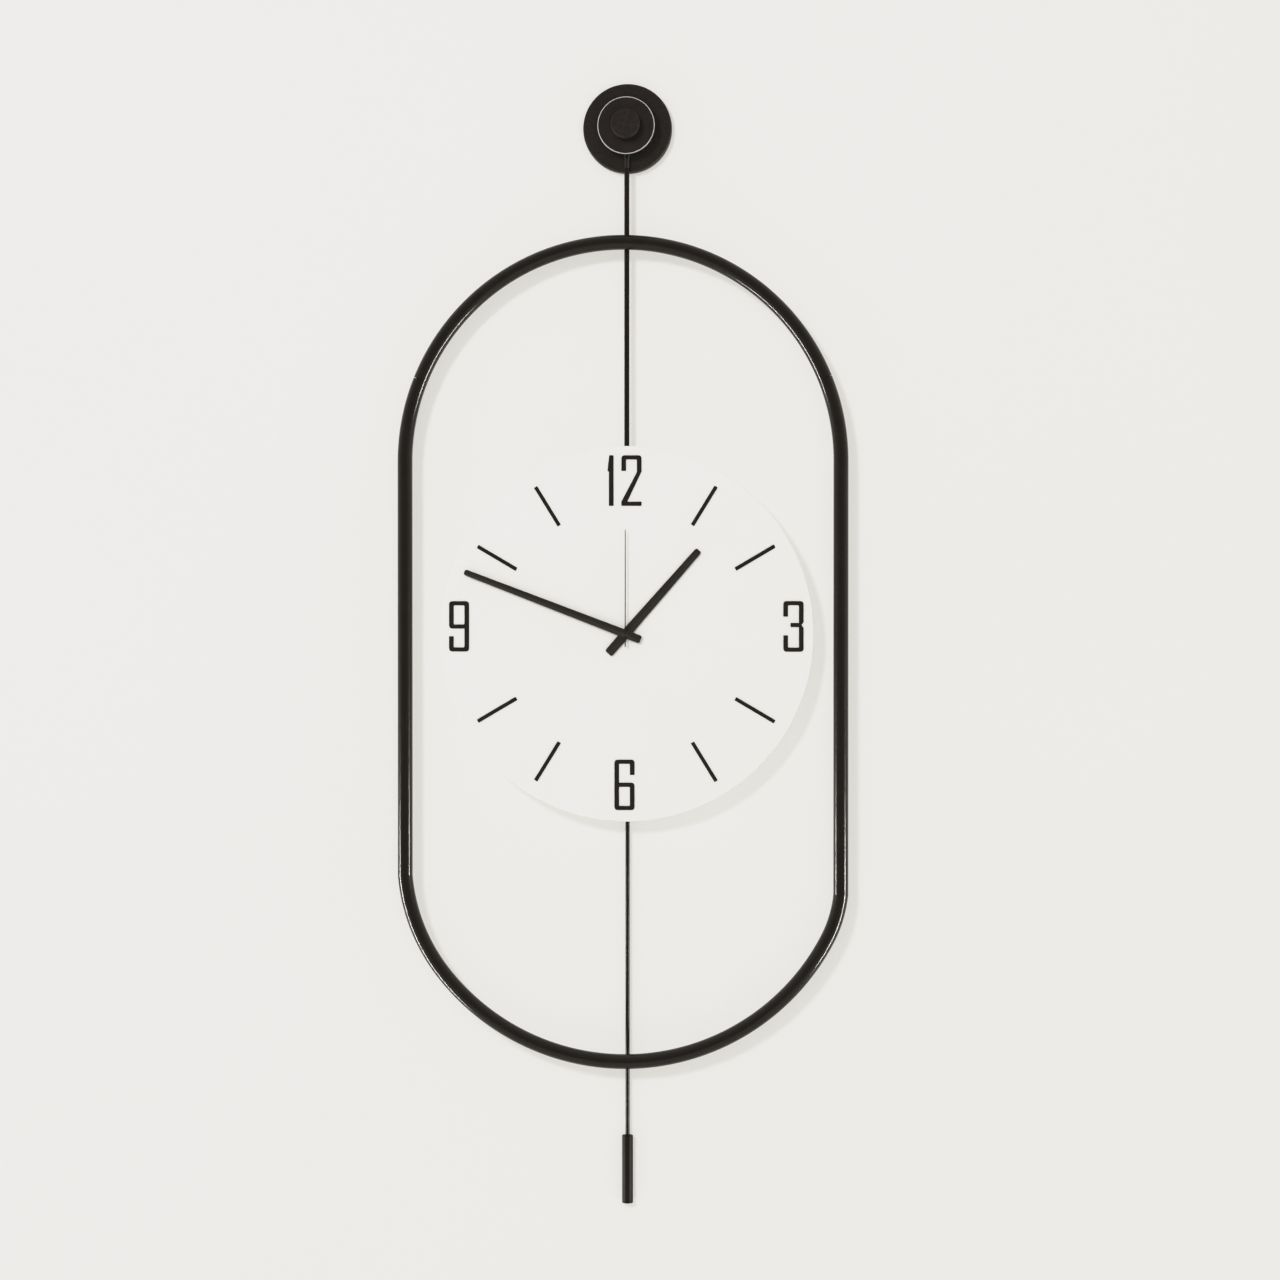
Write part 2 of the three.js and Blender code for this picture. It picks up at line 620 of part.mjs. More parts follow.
function numeralOne() {
  const { top, bottom } = NUMERAL;
  const stem = STROKE_ACROSS / 2;
  const flag = { top: 0.3 - stem, tip: -stem - 1.1, level: top - 12.4, foot: top - 13 };
  return roundedShape([
    [stem, bottom], [stem, top], [flag.top, top], [flag.tip, flag.level], [-stem, flag.foot],
    [-stem, bottom],
  ]);
}

function numeralTwo() {
  const { left, right, top, bottom } = NUMERAL;
  const hook = top - 12.4;
  const shoulder = top - 13;
  const innerShoulder = top - 13.4;
  const slantFoot = left + 4.7; // where the slanting stroke meets the foot
  return roundedShape([
    [left, hook], [left, top, NUMERAL_CORNER], [right, top, NUMERAL_CORNER], [right, shoulder],
    [slantFoot, bottom + STROKE_UP], [right, bottom + STROKE_UP], [right, bottom],
    [left, bottom], [left, bottom + STROKE_UP], [right - STROKE_ACROSS, innerShoulder],
    [right - STROKE_ACROSS, top - STROKE_UP, INNER_CORNER],
    [left + STROKE_ACROSS, top - STROKE_UP, INNER_CORNER], [left + STROKE_ACROSS, hook],
  ]);
}

function numeralThree() {
  const { left, right, top, bottom } = NUMERAL;
  const upperHook = top - 12.3;
  const lowerHook = bottom + 13;
  const apex = left + 5.7;
  const waist = 1.1;
  const notch = { depth: 1.6, half: 2.4 }; // in the right-hand side, at the waist
  return roundedShape([
    [left, upperHook], [left, top, NUMERAL_CORNER], [right, top, NUMERAL_CORNER],
    [right, waist + notch.half], [right - notch.depth, waist], [right, waist - notch.half],
    [right, bottom, NUMERAL_CORNER], [left, bottom, NUMERAL_CORNER], [left, lowerHook],
    [left + STROKE_ACROSS, lowerHook], [left + STROKE_ACROSS, bottom + STROKE_UP, INNER_CORNER],
    [right - STROKE_ACROSS, bottom + STROKE_UP, INNER_CORNER], [right - STROKE_ACROSS, waist - STROKE_UP / 2],
    [apex, waist - STROKE_UP / 2], [apex, waist + STROKE_UP / 2],
    [right - STROKE_ACROSS, waist + STROKE_UP / 2], [right - STROKE_ACROSS, top - STROKE_UP, INNER_CORNER],
    [left + STROKE_ACROSS, top - STROKE_UP, INNER_CORNER], [left + STROKE_ACROSS, upperHook],
  ]);
}

// The 6 has a full lower loop, and a short hook at the upper right.
function numeralSix() {
  const { left, right, top, bottom } = NUMERAL;
  const barTop = top - 18.4;
  const hook = top - 12.2;
  const shape = roundedShape([
    [left, bottom, NUMERAL_CORNER], [left, top, NUMERAL_CORNER], [right, top, NUMERAL_CORNER],
    [right, hook], [right - STROKE_ACROSS, hook], [right - STROKE_ACROSS, top - STROKE_UP, INNER_CORNER],
    [left + STROKE_ACROSS, top - STROKE_UP, INNER_CORNER], [left + STROKE_ACROSS, barTop],
    [right, barTop, NUMERAL_CORNER], [right, bottom, NUMERAL_CORNER],
  ].reverse());
  shape.holes.push(roundedShape([
    [left + STROKE_ACROSS, bottom + STROKE_UP, INNER_CORNER],
    [right - STROKE_ACROSS, bottom + STROKE_UP, INNER_CORNER],
    [right - STROKE_ACROSS, barTop - STROKE_UP, INNER_CORNER],
    [left + STROKE_ACROSS, barTop - STROKE_UP, INNER_CORNER],
  ]));
  return shape;
}

function buildMarkings() {
  const place = (name, shape, x, z, turn = 0) => {
    const geometry = plate(shape, MARKING_BACK, MARKING_THICKNESS, 3).rotateY(turn);
    piece(name, geometry.translate(x, 0, DIAL_CENTRE + z), BLACK_MOULDING);
  };
  place('numeral_12_one', numeralOne(), ONE_X, NUMERAL_UPPER_REACH);
  place('numeral_12_two', numeralTwo(), TWO_X, NUMERAL_UPPER_REACH);
  place('numeral_3', numeralThree(), NUMERAL_SIDE_REACH, NUMERAL_SIDE_RISE);
  place('numeral_6', numeralSix(), SIX_X, -NUMERAL_LOWER_REACH);
  place('numeral_9', numeralSix(), -NUMERAL_SIDE_REACH, NUMERAL_SIDE_RISE, Math.PI);

  const half = MARK_WIDTH / 2;
  const bar = polygon([[-half, MARK_INNER], [half, MARK_INNER], [half, MARK_OUTER], [-half, MARK_OUTER]]);
  const [steep, flat] = MARK_ANGLES;
  const angles = {
    1: steep, 2: flat, 4: Math.PI - flat, 5: Math.PI - steep,
    7: Math.PI + steep, 8: Math.PI + flat, 10: -flat, 11: -steep,
  };
  Object.entries(angles).forEach(([hour, angle]) => {
    place(`hour_mark_${hour.padStart(2, '0')}`, bar, 0, 0, angle);
  });
}

// ---------------------------------------------------------------------------------------------
// Hands
// ---------------------------------------------------------------------------------------------

// A tapering bar with clipped corners, pointing up from its hub.
function handShape({ tip, tail, hubWidth, tipWidth }, clip) {
  const hub = hubWidth / 2;
  const end = tipWidth / 2;
  const tailEnd = hub - (hub - end) * (tail / tip);
  return polygon([
    [hub, 0], [end, tip - clip], [end - clip / 2, tip], [clip / 2 - end, tip], [-end, tip - clip],
    [-hub, 0], [-tailEnd, clip - tail], [clip / 2 - tailEnd, -tail], [tailEnd - clip / 2, -tail],
    [tailEnd, clip - tail],
  ]);
}

function placeHand(name, geometry, { points }) {
  const turn = THREE.MathUtils.degToRad(points);
  piece(name, geometry.rotateY(turn).translate(0, 0, DIAL_CENTRE), GLOSS_BLACK);
}

function buildHands() {
  const hollowHand = (hand, back, bore) => {
    const bar = plate(handShape(hand, HAND_END_CHAMFER), back, HAND_THICKNESS);
    return cut(bar, pin(bore, back + 1, back - HAND_THICKNESS - 1, SMALL_SIDES));
  };
  placeHand('hour_hand', hollowHand(HOUR_HAND, HOUR_HAND_BACK, HOUR_TUBE.outer + GAP), HOUR_HAND);
  placeHand('minute_hand', hollowHand(MINUTE_HAND, MINUTE_HAND_BACK, MINUTE_TUBE.outer + GAP), MINUTE_HAND);

  const needleShape = handShape(SECOND_HAND, NEEDLE_THICKNESS / 2);
  const needle = plate(needleShape, SECOND_HAND_BACK - NEEDLE_SETBACK, NEEDLE_THICKNESS);
  const cap = pin(HUB_CAP_RADIUS, SECOND_HAND_BACK, SECOND_HAND_BACK - HUB_CAP_THICKNESS, SMALL_SIDES);
  const bore = pin(SECOND_SHAFT + GAP, SECOND_HAND_BACK + 1, SECOND_HAND_BACK - 1, PIN_SIDES);
  placeHand('second_hand', cut(join(needle, cap), bore), SECOND_HAND);
}

// ---------------------------------------------------------------------------------------------
// Movement: gear train
// ---------------------------------------------------------------------------------------------

const TRAIN = {
  second: { wheel: 60, pinion: 8 },
  third: { wheel: 60, pinion: 8 },
  centre: { wheel: 64, pinion: 12 },
  minute: { wheel: 36, pinion: 10 },
  hour: { wheel: 40 },
  intermediate: { wheel: 60, pinion: 10 },
  rotor: { pinion: 12 },
  knob: { pinion: 12 },
};

// Centre distances between meshing shafts, and the way each one lies from the one before it
const AXES = {};
AXES.centre = new THREE.Vector2(0, 0);
function placeAxis(name, from, distance, degrees) {
  const angle = THREE.MathUtils.degToRad(degrees);
  const way = new THREE.Vector2(Math.cos(angle), Math.sin(angle));
  AXES[name] = way.multiplyScalar(distance).add(AXES[from]);
}
placeAxis('third', 'centre', 11.5, 150);
placeAxis('intermediate', 'centre', 12.6, 30);
placeAxis('rotor', 'intermediate', 10.8, 90);
placeAxis('minute', 'centre', 9.6, -25);
placeAxis('knob', 'minute', 9.6, -15);

// The second wheel and the hour wheel turn on the centre's axis.
AXES.second = AXES.centre;
AXES.hour = AXES.centre;

const ADDENDUM = 0.5; // tooth height above the pitch circle, in modules
const DEDENDUM = 1; // tooth depth below it

// A gear in mesh with a neighbour: its tooth, or the gap between two teeth, faces the neighbour.
function gear(teeth, mate, own, other, back, thickness, facesTooth) {
  const towards = AXES[other].clone().sub(AXES[own]);
  const pitchRadius = (towards.length() * teeth) / (teeth + mate);
  const module = (2 * pitchRadius) / teeth;
  const toothPitch = (2 * Math.PI) / teeth;
  const first = towards.angle() + (facesTooth ? 0 : toothPitch / 2);
  const corners = [];
  for (let i = 0; i < teeth; i += 1) {
    const angle = first + i * toothPitch;
    const tip = pitchRadius + ADDENDUM * module;
    const root = pitchRadius - DEDENDUM * module;
    corners.push([tip * Math.cos(angle), tip * Math.sin(angle)]);
    corners.push([root * Math.cos(angle + toothPitch / 2), root * Math.sin(angle + toothPitch / 2)]);
  }
  return plate(polygon(corners), back, thickness);
}

const WHEEL_THICKNESS = 0.8;
const PINION_THICKNESS = 1.6;

// Levels of the wheels' back faces, from the back of the movement forward
const LEVEL = { second: -9, intermediate: -11, third: -12.8, centre: -15.2, minute: -17.4, hour: -19 };

function wheel(axis, other, back) {
  return gear(TRAIN[axis].wheel, TRAIN[other].pinion, axis, other, back, WHEEL_THICKNESS, true);
}

// A pinion is longer than the wheel that it drives and stands evenly on both sides of it.
function pinion(axis, other, wheelBack) {
  const back = wheelBack + (PINION_THICKNESS - WHEEL_THICKNESS) / 2;
  return gear(TRAIN[axis].pinion, TRAIN[other].wheel, axis, other, back, PINION_THICKNESS, false);
}

// An arbor that runs from the cover to the front wall, with a thin pivot at each end.
function arbor() {
  const backShoulder = HOUSING_BACK - GAP;
  const frontShoulder = HOUSING_FLOOR + GAP;
  const tip = HOUSING_FLOOR - PIVOT_REACH;
  return turned([
    [0, COVER_FACE - GAP], [PIVOT_RADIUS, COVER_FACE - GAP], [PIVOT_RADIUS, backShoulder],
    [ARBOR_RADIUS, backShoulder], [ARBOR_RADIUS, frontShoulder],
    [PIVOT_RADIUS, frontShoulder], [PIVOT_RADIUS, tip], [0, tip],
  ], PIN_SIDES);
}

function placeOnAxis(name, axis, geometry, material) {
  const { x, y } = AXES[axis];
  piece(name, geometry.translate(x, 0, DIAL_CENTRE + y), material);
}

function buildTrain() {
  const bored = (radius, from, to, ...solids) => cut(join(...solids), pin(radius, from, to, PIN_SIDES));

  const shaftTip = SECOND_HAND_BACK - SECOND_SHAFT_REACH;
  const secondShaft = turned([
    [0, COVER_FACE - GAP], [PIVOT_RADIUS, COVER_FACE - GAP], [PIVOT_RADIUS, HOUSING_BACK - GAP],
    [SECOND_SHAFT, HOUSING_BACK - GAP], [SECOND_SHAFT, shaftTip], [0, shaftTip],
  ], PIN_SIDES);
  placeOnAxis('second_wheel', 'second', join(
    secondShaft,
    wheel('second', 'intermediate', LEVEL.second),
    pinion('second', 'third', LEVEL.third),
  ), WHITE_MOULDING);

  placeOnAxis('third_wheel', 'third', join(
    arbor(), wheel('third', 'second', LEVEL.third), pinion('third', 'centre', LEVEL.centre),
  ), WHITE_MOULDING);

  const tubeBack = LEVEL.centre + 0.4;
  const tubeFront = MINUTE_HAND_BACK - HAND_THICKNESS;
  placeOnAxis('centre_wheel', 'centre', bored(
    MINUTE_TUBE.bore, tubeBack + 1, tubeFront - 1,
    pin(MINUTE_TUBE.outer, tubeBack, tubeFront, SMALL_SIDES),
    wheel('centre', 'third', LEVEL.centre), pinion('centre', 'minute', LEVEL.minute),
  ), BRASS);

  const hourBack = LEVEL.hour + 0.2;
  const hourFront = HOUR_HAND_BACK - HAND_THICKNESS;
  placeOnAxis('hour_wheel', 'hour', bored(
    HOUR_TUBE.bore, hourBack + 1, hourFront - 1,
    pin(HOUR_TUBE.outer, hourBack, hourFront, SMALL_SIDES),
    wheel('hour', 'minute', LEVEL.hour),
  ), WHITE_MOULDING);

  placeOnAxis('minute_wheel', 'minute', bored(
    ARBOR_RADIUS + RUN, LEVEL.minute + 1, HOUSING_FLOOR - 1,
    wheel('minute', 'centre', LEVEL.minute),
    pin(MINUTE_WHEEL_HUB, LEVEL.minute, HOUSING_FLOOR + GAP, PIN_SIDES),
    pinion('minute', 'hour', LEVEL.hour),
  ), WHITE_MOULDING);

  placeOnAxis('intermediate_wheel', 'intermediate', join(
    arbor(),
    wheel('intermediate', 'rotor', LEVEL.intermediate),
    pinion('intermediate', 'second', LEVEL.second),
  ), WHITE_MOULDING);

  placeOnAxis('motor_rotor', 'rotor', join(
    arbor(),
    pinion('rotor', 'intermediate', LEVEL.intermediate),
    pin(ROTOR_MAGNET.radius, ROTOR_MAGNET.back, ROTOR_MAGNET.front, SMALL_SIDES),
  ), MAGNET_GREY);

  // The setting knob turns the minute wheel through a pinion of its own.
  const grip = polygon(Array.from({ length: 2 * KNOB.ridges }, (_, i) => {
    const radius = i % 2 ? KNOB.crest : KNOB.groove;
    const angle = (Math.PI * i) / KNOB.ridges;
    return [radius * Math.cos(angle), radius * Math.sin(angle)];
  }));
  placeOnAxis('setting_knob', 'knob', join(
    plate(grip, KNOB.face, KNOB.face - COVER_FACE - GAP),
    pin(KNOB.shaft, KNOB.face - 1, HOUSING_FLOOR + GAP, SMALL_SIDES),
    pin(PIVOT_RADIUS, KNOB.face - 1, HOUSING_FLOOR - PIVOT_REACH),
    pinion('knob', 'minute', LEVEL.minute),
  ), BLACK_MOULDING);
}

// ---------------------------------------------------------------------------------------------
// Movement: case, motor, battery and pendulum drive
// ---------------------------------------------------------------------------------------------

const ARBOR_PLACES = ['third', 'intermediate', 'rotor', 'knob'];

// A level of the movement, given from the shaft in the dial's centre.
function level(z) {
  return DIAL_CENTRE + z;
}

// A hole or a stud on one of the gear train's axes.
function pinOnAxis(name, radius, from, to) {
  return pin(radius, from, to, PIN_SIDES, AXES[name].x, level(AXES[name].y));
}

function buildCase() {
  const insideHalf = CASE_HALF_WIDTH - CASE_WALL;
  const width = [-CASE_HALF_WIDTH, CASE_HALF_WIDTH];
  const height = [level(CASE_BOTTOM), level(CASE_TOP)];
  const bay = (low, high) => (
    block([-insideHalf, insideHalf], [HOUSING_FLOOR, HOUSING_BACK + 1], [level(low), level(high)])
  );
  const batteryBay = [BATTERY_LEVEL - BATTERY_BAY_HALF_HEIGHT, BATTERY_LEVEL + BATTERY_BAY_HALF_HEIGHT];
  const hollow = cut(
    block(width, [HOUSING_FRONT, HOUSING_BACK], height),
    bay(GEAR_BAY_FLOOR, CASE_TOP - CASE_WALL),
    bay(...batteryBay),
    bay(CASE_BOTTOM + CASE_WALL, COIL_BAY_TOP),
  );

  const screwLevel = level(EAR_HEIGHT);
  const places = [['left', -1], ['right', 1]].map(([place, side]) => [place, side, side * EAR_OFFSET]);
  const ears = places.map(([, side, x]) => join(
    pin(EAR_RADIUS, HOUSING_FLOOR, HOUSING_FRONT, SMALL_SIDES, x, screwLevel),
    block(
      [Math.min(x, side * insideHalf), Math.max(x, side * insideHalf)],
      [HOUSING_FRONT, HOUSING_FLOOR],
      [screwLevel - EAR_RADIUS, screwLevel + EAR_RADIUS],
    ),
  ));
  const screwHoles = places.map(([, , x]) => (
    pin(SMALL_SCREW.shank + GAP, HOUSING_FLOOR + 1, HOUSING_FRONT - 1, PIN_SIDES, x, screwLevel)
  ));
  const bush = pin(BUSH_RADIUS, HOUSING_FLOOR - GAP, DIAL_FRONT + 1, SMALL_SIDES, 0, DIAL_CENTRE);
  const stud = pinOnAxis('minute', ARBOR_RADIUS, HOUSING_FLOOR - GAP, LEVEL.minute + GAP);
  const shaftHole = pin(
    HOUR_TUBE.outer + RUN, HOUSING_FLOOR + 1, DIAL_FRONT, SMALL_SIDES, 0, DIAL_CENTRE,
  );
  const pivotFloor = HOUSING_FLOOR - PIVOT_REACH - GAP;
  const pivotHoles = ARBOR_PLACES.map((name) => (
    pinOnAxis(name, PIVOT_HOLE, HOUSING_FLOOR + 1, pivotFloor)
  ));
  const housing = cut(join(hollow, ...ears, bush, stud), shaftHole, ...pivotHoles, ...screwHoles);
  piece('movement_housing', housing, BLACK_MOULDING);

  places.forEach(([place, , x]) => {
    const shape = screw(SMALL_SCREW, HOUSING_FLOOR + GAP, DIAL_BACK - SCREW_BITE, x, screwLevel);
    piece(`movement_screw_${place}`, shape, STEEL);
  });

  const coverFront = COVER_FACE - COVER_THICKNESS;
  const [windowLow, windowHigh] = batteryBay;
  const window = block(
    [-insideHalf + 1, insideHalf - 1],
    [coverFront - 1, COVER_FACE + 1],
    [level(windowLow + WINDOW_RIM), level(windowHigh - WINDOW_RIM)],
  );
  const holes = ['third', 'intermediate', 'rotor', 'centre'].map((name) => (
    pinOnAxis(name, PIVOT_HOLE, COVER_FACE + 1, coverFront - 1)
  ));
  const knobHole = pinOnAxis('knob', KNOB.shaft + GAP, COVER_FACE + 1, coverFront - 1);
  const headFront = ARM_BACK + GAP;
  const headBack = headFront + SWING_PIN_HEAD.thickness;
  const root = coverFront + 0.2; // just inside the cover
  const swingPin = turned([
    [0, root], [SWING_PIN_RADIUS, root], [SWING_PIN_RADIUS, headFront],
    [SWING_PIN_HEAD.radius, headFront], [SWING_PIN_HEAD.radius, headBack], [0, headBack],
  ], SMALL_SIDES, 0, level(SWING_PIVOT));
  const lid = cut(block(width, [coverFront, COVER_FACE], height), window, ...holes, knobHole);
  piece('movement_cover', join(lid, swingPin), BLACK_MOULDING);
  return places.map(([, , x]) => [x, screwLevel]);
}

function buildBattery() {
  const plane = HOUSING_FLOOR + GAP + BATTERY_RADIUS;
  const nub = { length: 1, radius: 2.75 };
  const rim = 0.5;
  const half = (BATTERY_LENGTH - nub.length) / 2;
  const centre = level(BATTERY_LEVEL);
  const sideways = (profile, sides) => (
    turned(profile, sides).rotateZ(-Math.PI / 2).translate(0, plane, centre)
  );
  piece('battery', sideways([
    [0, -half], [BATTERY_RADIUS - rim, -half], [BATTERY_RADIUS, rim - half],
    [BATTERY_RADIUS, half - rim], [BATTERY_RADIUS - rim, half],
    [nub.radius, half], [nub.radius, half + nub.length], [0, half + nub.length],
  ], SMALL_SIDES + 4), BATTERY_SLEEVE);

  const stripDepth = [HOUSING_FLOOR + GAP, HOUSING_BACK - GAP];
  const stripHeight = [centre - CONTACT.half, centre + CONTACT.half];
  const strip = (from, to) => block([from, to], stripDepth, stripHeight);
  const plusFace = half + nub.length + GAP;
  piece('battery_contact_plus', strip(plusFace, plusFace + CONTACT.sheet), STEEL);

  const minusFace = -half - GAP;
  const sheetFace = minusFace - CONTACT.spring;
  const springRoot = sheetFace - 0.2; // just inside the strip
  const spring = sideways([
    [0, springRoot], [CONTACT.springWide, springRoot], [CONTACT.springNarrow, minusFace], [0, minusFace],
  ], PIN_SIDES);
  const minusStrip = strip(sheetFace - CONTACT.sheet, sheetFace);
  piece('battery_contact_minus', join(minusStrip, spring), STEEL);
}

function buildElectrics() {
  // Circuit board with its chip and the can of the quartz crystal.
  const slab = ({ left, right, back, front, bottom, top }) => (
    block([left, right], [front, back], [level(bottom), level(top)])
  );
  const can = pin(CRYSTAL.radius, 0, CRYSTAL.length, PIN_SIDES)
    .rotateZ(-Math.PI / 2).translate(CRYSTAL.left, CRYSTAL.y, level(CRYSTAL.level));
  piece('circuit_board', join(slab(BOARD), slab(CHIP), can), BOARD_GREEN);

  // The stator's iron ring surrounds the rotor, and its upper bar runs through the motor coil.
  const { x, y } = AXES.rotor;
  const [low, high] = [x - STATOR.half, x + STATOR.half];
  const rectangle = (left, right, bottom, top) => (
    polygon([[left, bottom], [right, bottom], [right, top], [left, top]])
  );
  const iron = rectangle(low, high, STATOR.bottom, STATOR.top);
  const { rim, bottom, top } = STATOR_WINDOW;
  const rotorHole = circle(STATOR.rotorHole, SMALL_SIDES).getPoints();
  iron.holes.push(rectangle(low + rim, high - rim, bottom, top));
  iron.holes.push(polygon(rotorHole.map((corner) => [corner.x + x, corner.y + y])));
  const stator = plate(iron, STATOR.back, STATOR.thickness).translate(0, 0, DIAL_CENTRE);
  piece('motor_stator', stator, STEEL);

  const { outer, bore, inset } = MOTOR_COIL;
  const coilPlane = STATOR.back - STATOR.thickness / 2;
  const motorCoil = sleeve(outer, bore, low + inset, high - inset, SMALL_SIDES)
    .rotateZ(-Math.PI / 2).translate(0, coilPlane, level(MOTOR_COIL.level));
  piece('motor_coil', motorCoil, COPPER);

  const driveBack = HOUSING_BACK - GAP;
  const driveCoil = sleeve(
    DRIVE_COIL.outer, DRIVE_COIL.bore, driveBack, driveBack - DRIVE_COIL.length, SMALL_SIDES + 4,
    0, level(MAGNET_LEVEL),
  );
  piece('pendulum_coil', driveCoil, COPPER);
}

// ---------------------------------------------------------------------------------------------
// Pendulum
// ---------------------------------------------------------------------------------------------

function buildPendulum() {
  const half = ARM_HALF_WIDTH;
  const top = SWING_PIVOT + ARM_RISE;
  const strip = roundedShape([
    [-half, top, ARM_CORNER], [-half, EYE.shoulder], [-EYE.half, EYE.top], [-EYE.half, EYE.bottom],
    [-half, SOCKET_TOP], [-half, SOCKET_BOTTOM], [half, SOCKET_BOTTOM], [half, SOCKET_TOP],
    [EYE.half, EYE.bottom], [EYE.half, EYE.top], [half, EYE.shoulder], [half, top, ARM_CORNER],
  ]);
  const arm = plate(strip, ARM_BACK, ARM_THICKNESS).translate(0, 0, DIAL_CENTRE);
  const socket = block(
    [-SOCKET_HALF_WIDTH, SOCKET_HALF_WIDTH],
    [SOCKET_FRONT, ARM_BACK - 0.2],
    [level(SOCKET_BOTTOM), level(SOCKET_TOP)],
  );
  const through = (radius, sides, z) => pin(radius, 0, SOCKET_FRONT - 1, sides, 0, level(z));
  const pivotHole = through(SWING_PIN_RADIUS + RUN, SMALL_SIDES, SWING_PIVOT);
  const magnetHole = through(MAGNET_RADIUS + GAP, SMALL_SIDES + 4, MAGNET_LEVEL);
  const socketEnd = level(SOCKET_BOTTOM) + SOCKET_DEPTH;
  const bore = (from, to) => upright(PENDULUM_ROD_RADIUS + GAP, from, to, PENDULUM_PLANE, 0.1, PIN_SIDES);
  const rodHole = bore(socketEnd, level(SOCKET_BOTTOM) - 1);
  piece('pendulum_arm', cut(join(arm, socket), pivotHole, magnetHole, rodHole), BLACK_MOULDING);

  const magnet = pin(
    MAGNET_RADIUS, ARM_BACK, ARM_BACK - ARM_THICKNESS, SMALL_SIDES + 4, 0, level(MAGNET_LEVEL),
  );
  piece('pendulum_magnet', magnet, MAGNET_GREY);

  const rodBottom = WEIGHT_TOP - SOCKET_DEPTH + GAP;
  const rod = upright(PENDULUM_ROD_RADIUS, socketEnd - GAP, rodBottom, PENDULUM_PLANE, 0.3, TUBE_SIDES);
  piece('pendulum_rod', rod, BLACK_PAINT);
  const weight = upright(WEIGHT_RADIUS, WEIGHT_TOP, WEIGHT_BOTTOM, PENDULUM_PLANE, 0.5, SMALL_SIDES + 4);
  const weightBore = bore(WEIGHT_TOP + 1, WEIGHT_TOP - SOCKET_DEPTH);
  piece('pendulum_weight', cut(weight, weightBore), GLOSS_BLACK);
}

buildHook();
const bracketScrews = buildHanger();
buildFrame();
const movementScrews = buildCase();
buildDial([...bracketScrews, ...movementScrews]);
buildMarkings();
buildHands();
buildTrain();
buildBattery();
buildElectrics();
buildPendulum();

export default clock;
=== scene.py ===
import json
import math

import bmesh
import bpy
from mathutils import Matrix, Vector
from mathutils.geometry import interpolate_bezier

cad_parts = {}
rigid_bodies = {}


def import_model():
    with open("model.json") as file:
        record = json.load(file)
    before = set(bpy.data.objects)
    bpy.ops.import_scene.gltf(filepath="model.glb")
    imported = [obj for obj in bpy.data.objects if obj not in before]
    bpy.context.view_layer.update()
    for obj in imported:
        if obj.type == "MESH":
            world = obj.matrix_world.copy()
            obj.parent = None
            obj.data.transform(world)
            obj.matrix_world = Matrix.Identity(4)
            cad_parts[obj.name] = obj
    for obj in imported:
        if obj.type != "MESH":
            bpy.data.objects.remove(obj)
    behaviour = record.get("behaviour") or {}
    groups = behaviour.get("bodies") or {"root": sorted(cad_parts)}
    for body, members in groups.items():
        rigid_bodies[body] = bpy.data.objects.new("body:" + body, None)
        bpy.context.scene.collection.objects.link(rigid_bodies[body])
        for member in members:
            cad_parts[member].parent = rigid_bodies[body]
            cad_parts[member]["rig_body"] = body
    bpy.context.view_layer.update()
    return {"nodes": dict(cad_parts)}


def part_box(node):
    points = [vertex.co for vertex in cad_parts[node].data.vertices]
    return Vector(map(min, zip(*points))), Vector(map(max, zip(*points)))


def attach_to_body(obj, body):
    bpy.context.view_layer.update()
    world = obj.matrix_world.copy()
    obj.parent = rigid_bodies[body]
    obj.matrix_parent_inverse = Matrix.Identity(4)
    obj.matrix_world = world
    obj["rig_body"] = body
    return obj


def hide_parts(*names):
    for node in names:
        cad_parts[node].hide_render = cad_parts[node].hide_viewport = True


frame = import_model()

# The clock hangs on a wall at y = 0 and faces -Y. Lengths are in millimetres, apart from those of the stage,
# lights and camera, which are in metres.
MM = 0.001

# ---------------------------------------------------------------------------------------------
# Main dimensions, in step with the CAD model
# ---------------------------------------------------------------------------------------------

GAP = 0.3  # clearance between pieces that rest against each other

ROSETTE_RADIUS = 35.65
ROSETTE_FRONT = -9.0
DISC_RADIUS = 23.2
DISC_BACK, DISC_FRONT = -20.6, -24.6
DISC_CHAMFER = 0.9
BUTTON_RADIUS = 11.5
BUTTON_BACK, BUTTON_FRONT = -24.9, -35.2
COLLAR_RADIUS = 7.0
COLLAR_BACK, COLLAR_FRONT = -9.3, -11.3
SPINDLE_RADIUS = 4.0
SPINDLE_FOOT, SPINDLE_STUB = 3.0, 2.5  # radii behind the collar and in front of the disc's seat
SPINDLE_BACK, SPINDLE_FRONT = -3.8, -30.0

LOOP_PLANE = -13.95
WIRE_RADIUS = 0.8
ROD_RADIUS = 2.1
ROD_TOP, ROD_BOTTOM = -33.0, -357.3

FRAME_PLANE = -22.35
TUBE_RADIUS = 6.0
FRAME_HALF_WIDTH = 174.8
FRAME_OFFSET = -3.3  # the frame hangs a little to the left of the rod
UPPER_CENTRE = -268.0
BOTTOM_RADIUS = 184.2
BOTTOM_CENTRE = -564.8
BOTTOM_SHIFT = 0.8  # the bottom arc's centre lies this far to the right of the frame's
END_BENDS = {
    "left": dict(side=-1, radius=147.0, kink=math.radians(5)),
    "right": dict(side=1, radius=100.0, kink=math.radians(6)),
}
SEAM_ANGLE = math.radians(22)
HALF_SEAM = 0.14  # half the fine joint between the tubes on each shoulder
HALF_KINK = 0.04  # half the joint at each kink

DIAL_CENTRE = -406.3
DIAL_RADIUS = 150.0
DIAL_BACK, DIAL_FRONT = -22.6, -27.6
DIAL_HOLE = 3.6
MARKING_HEIGHT = 0.9

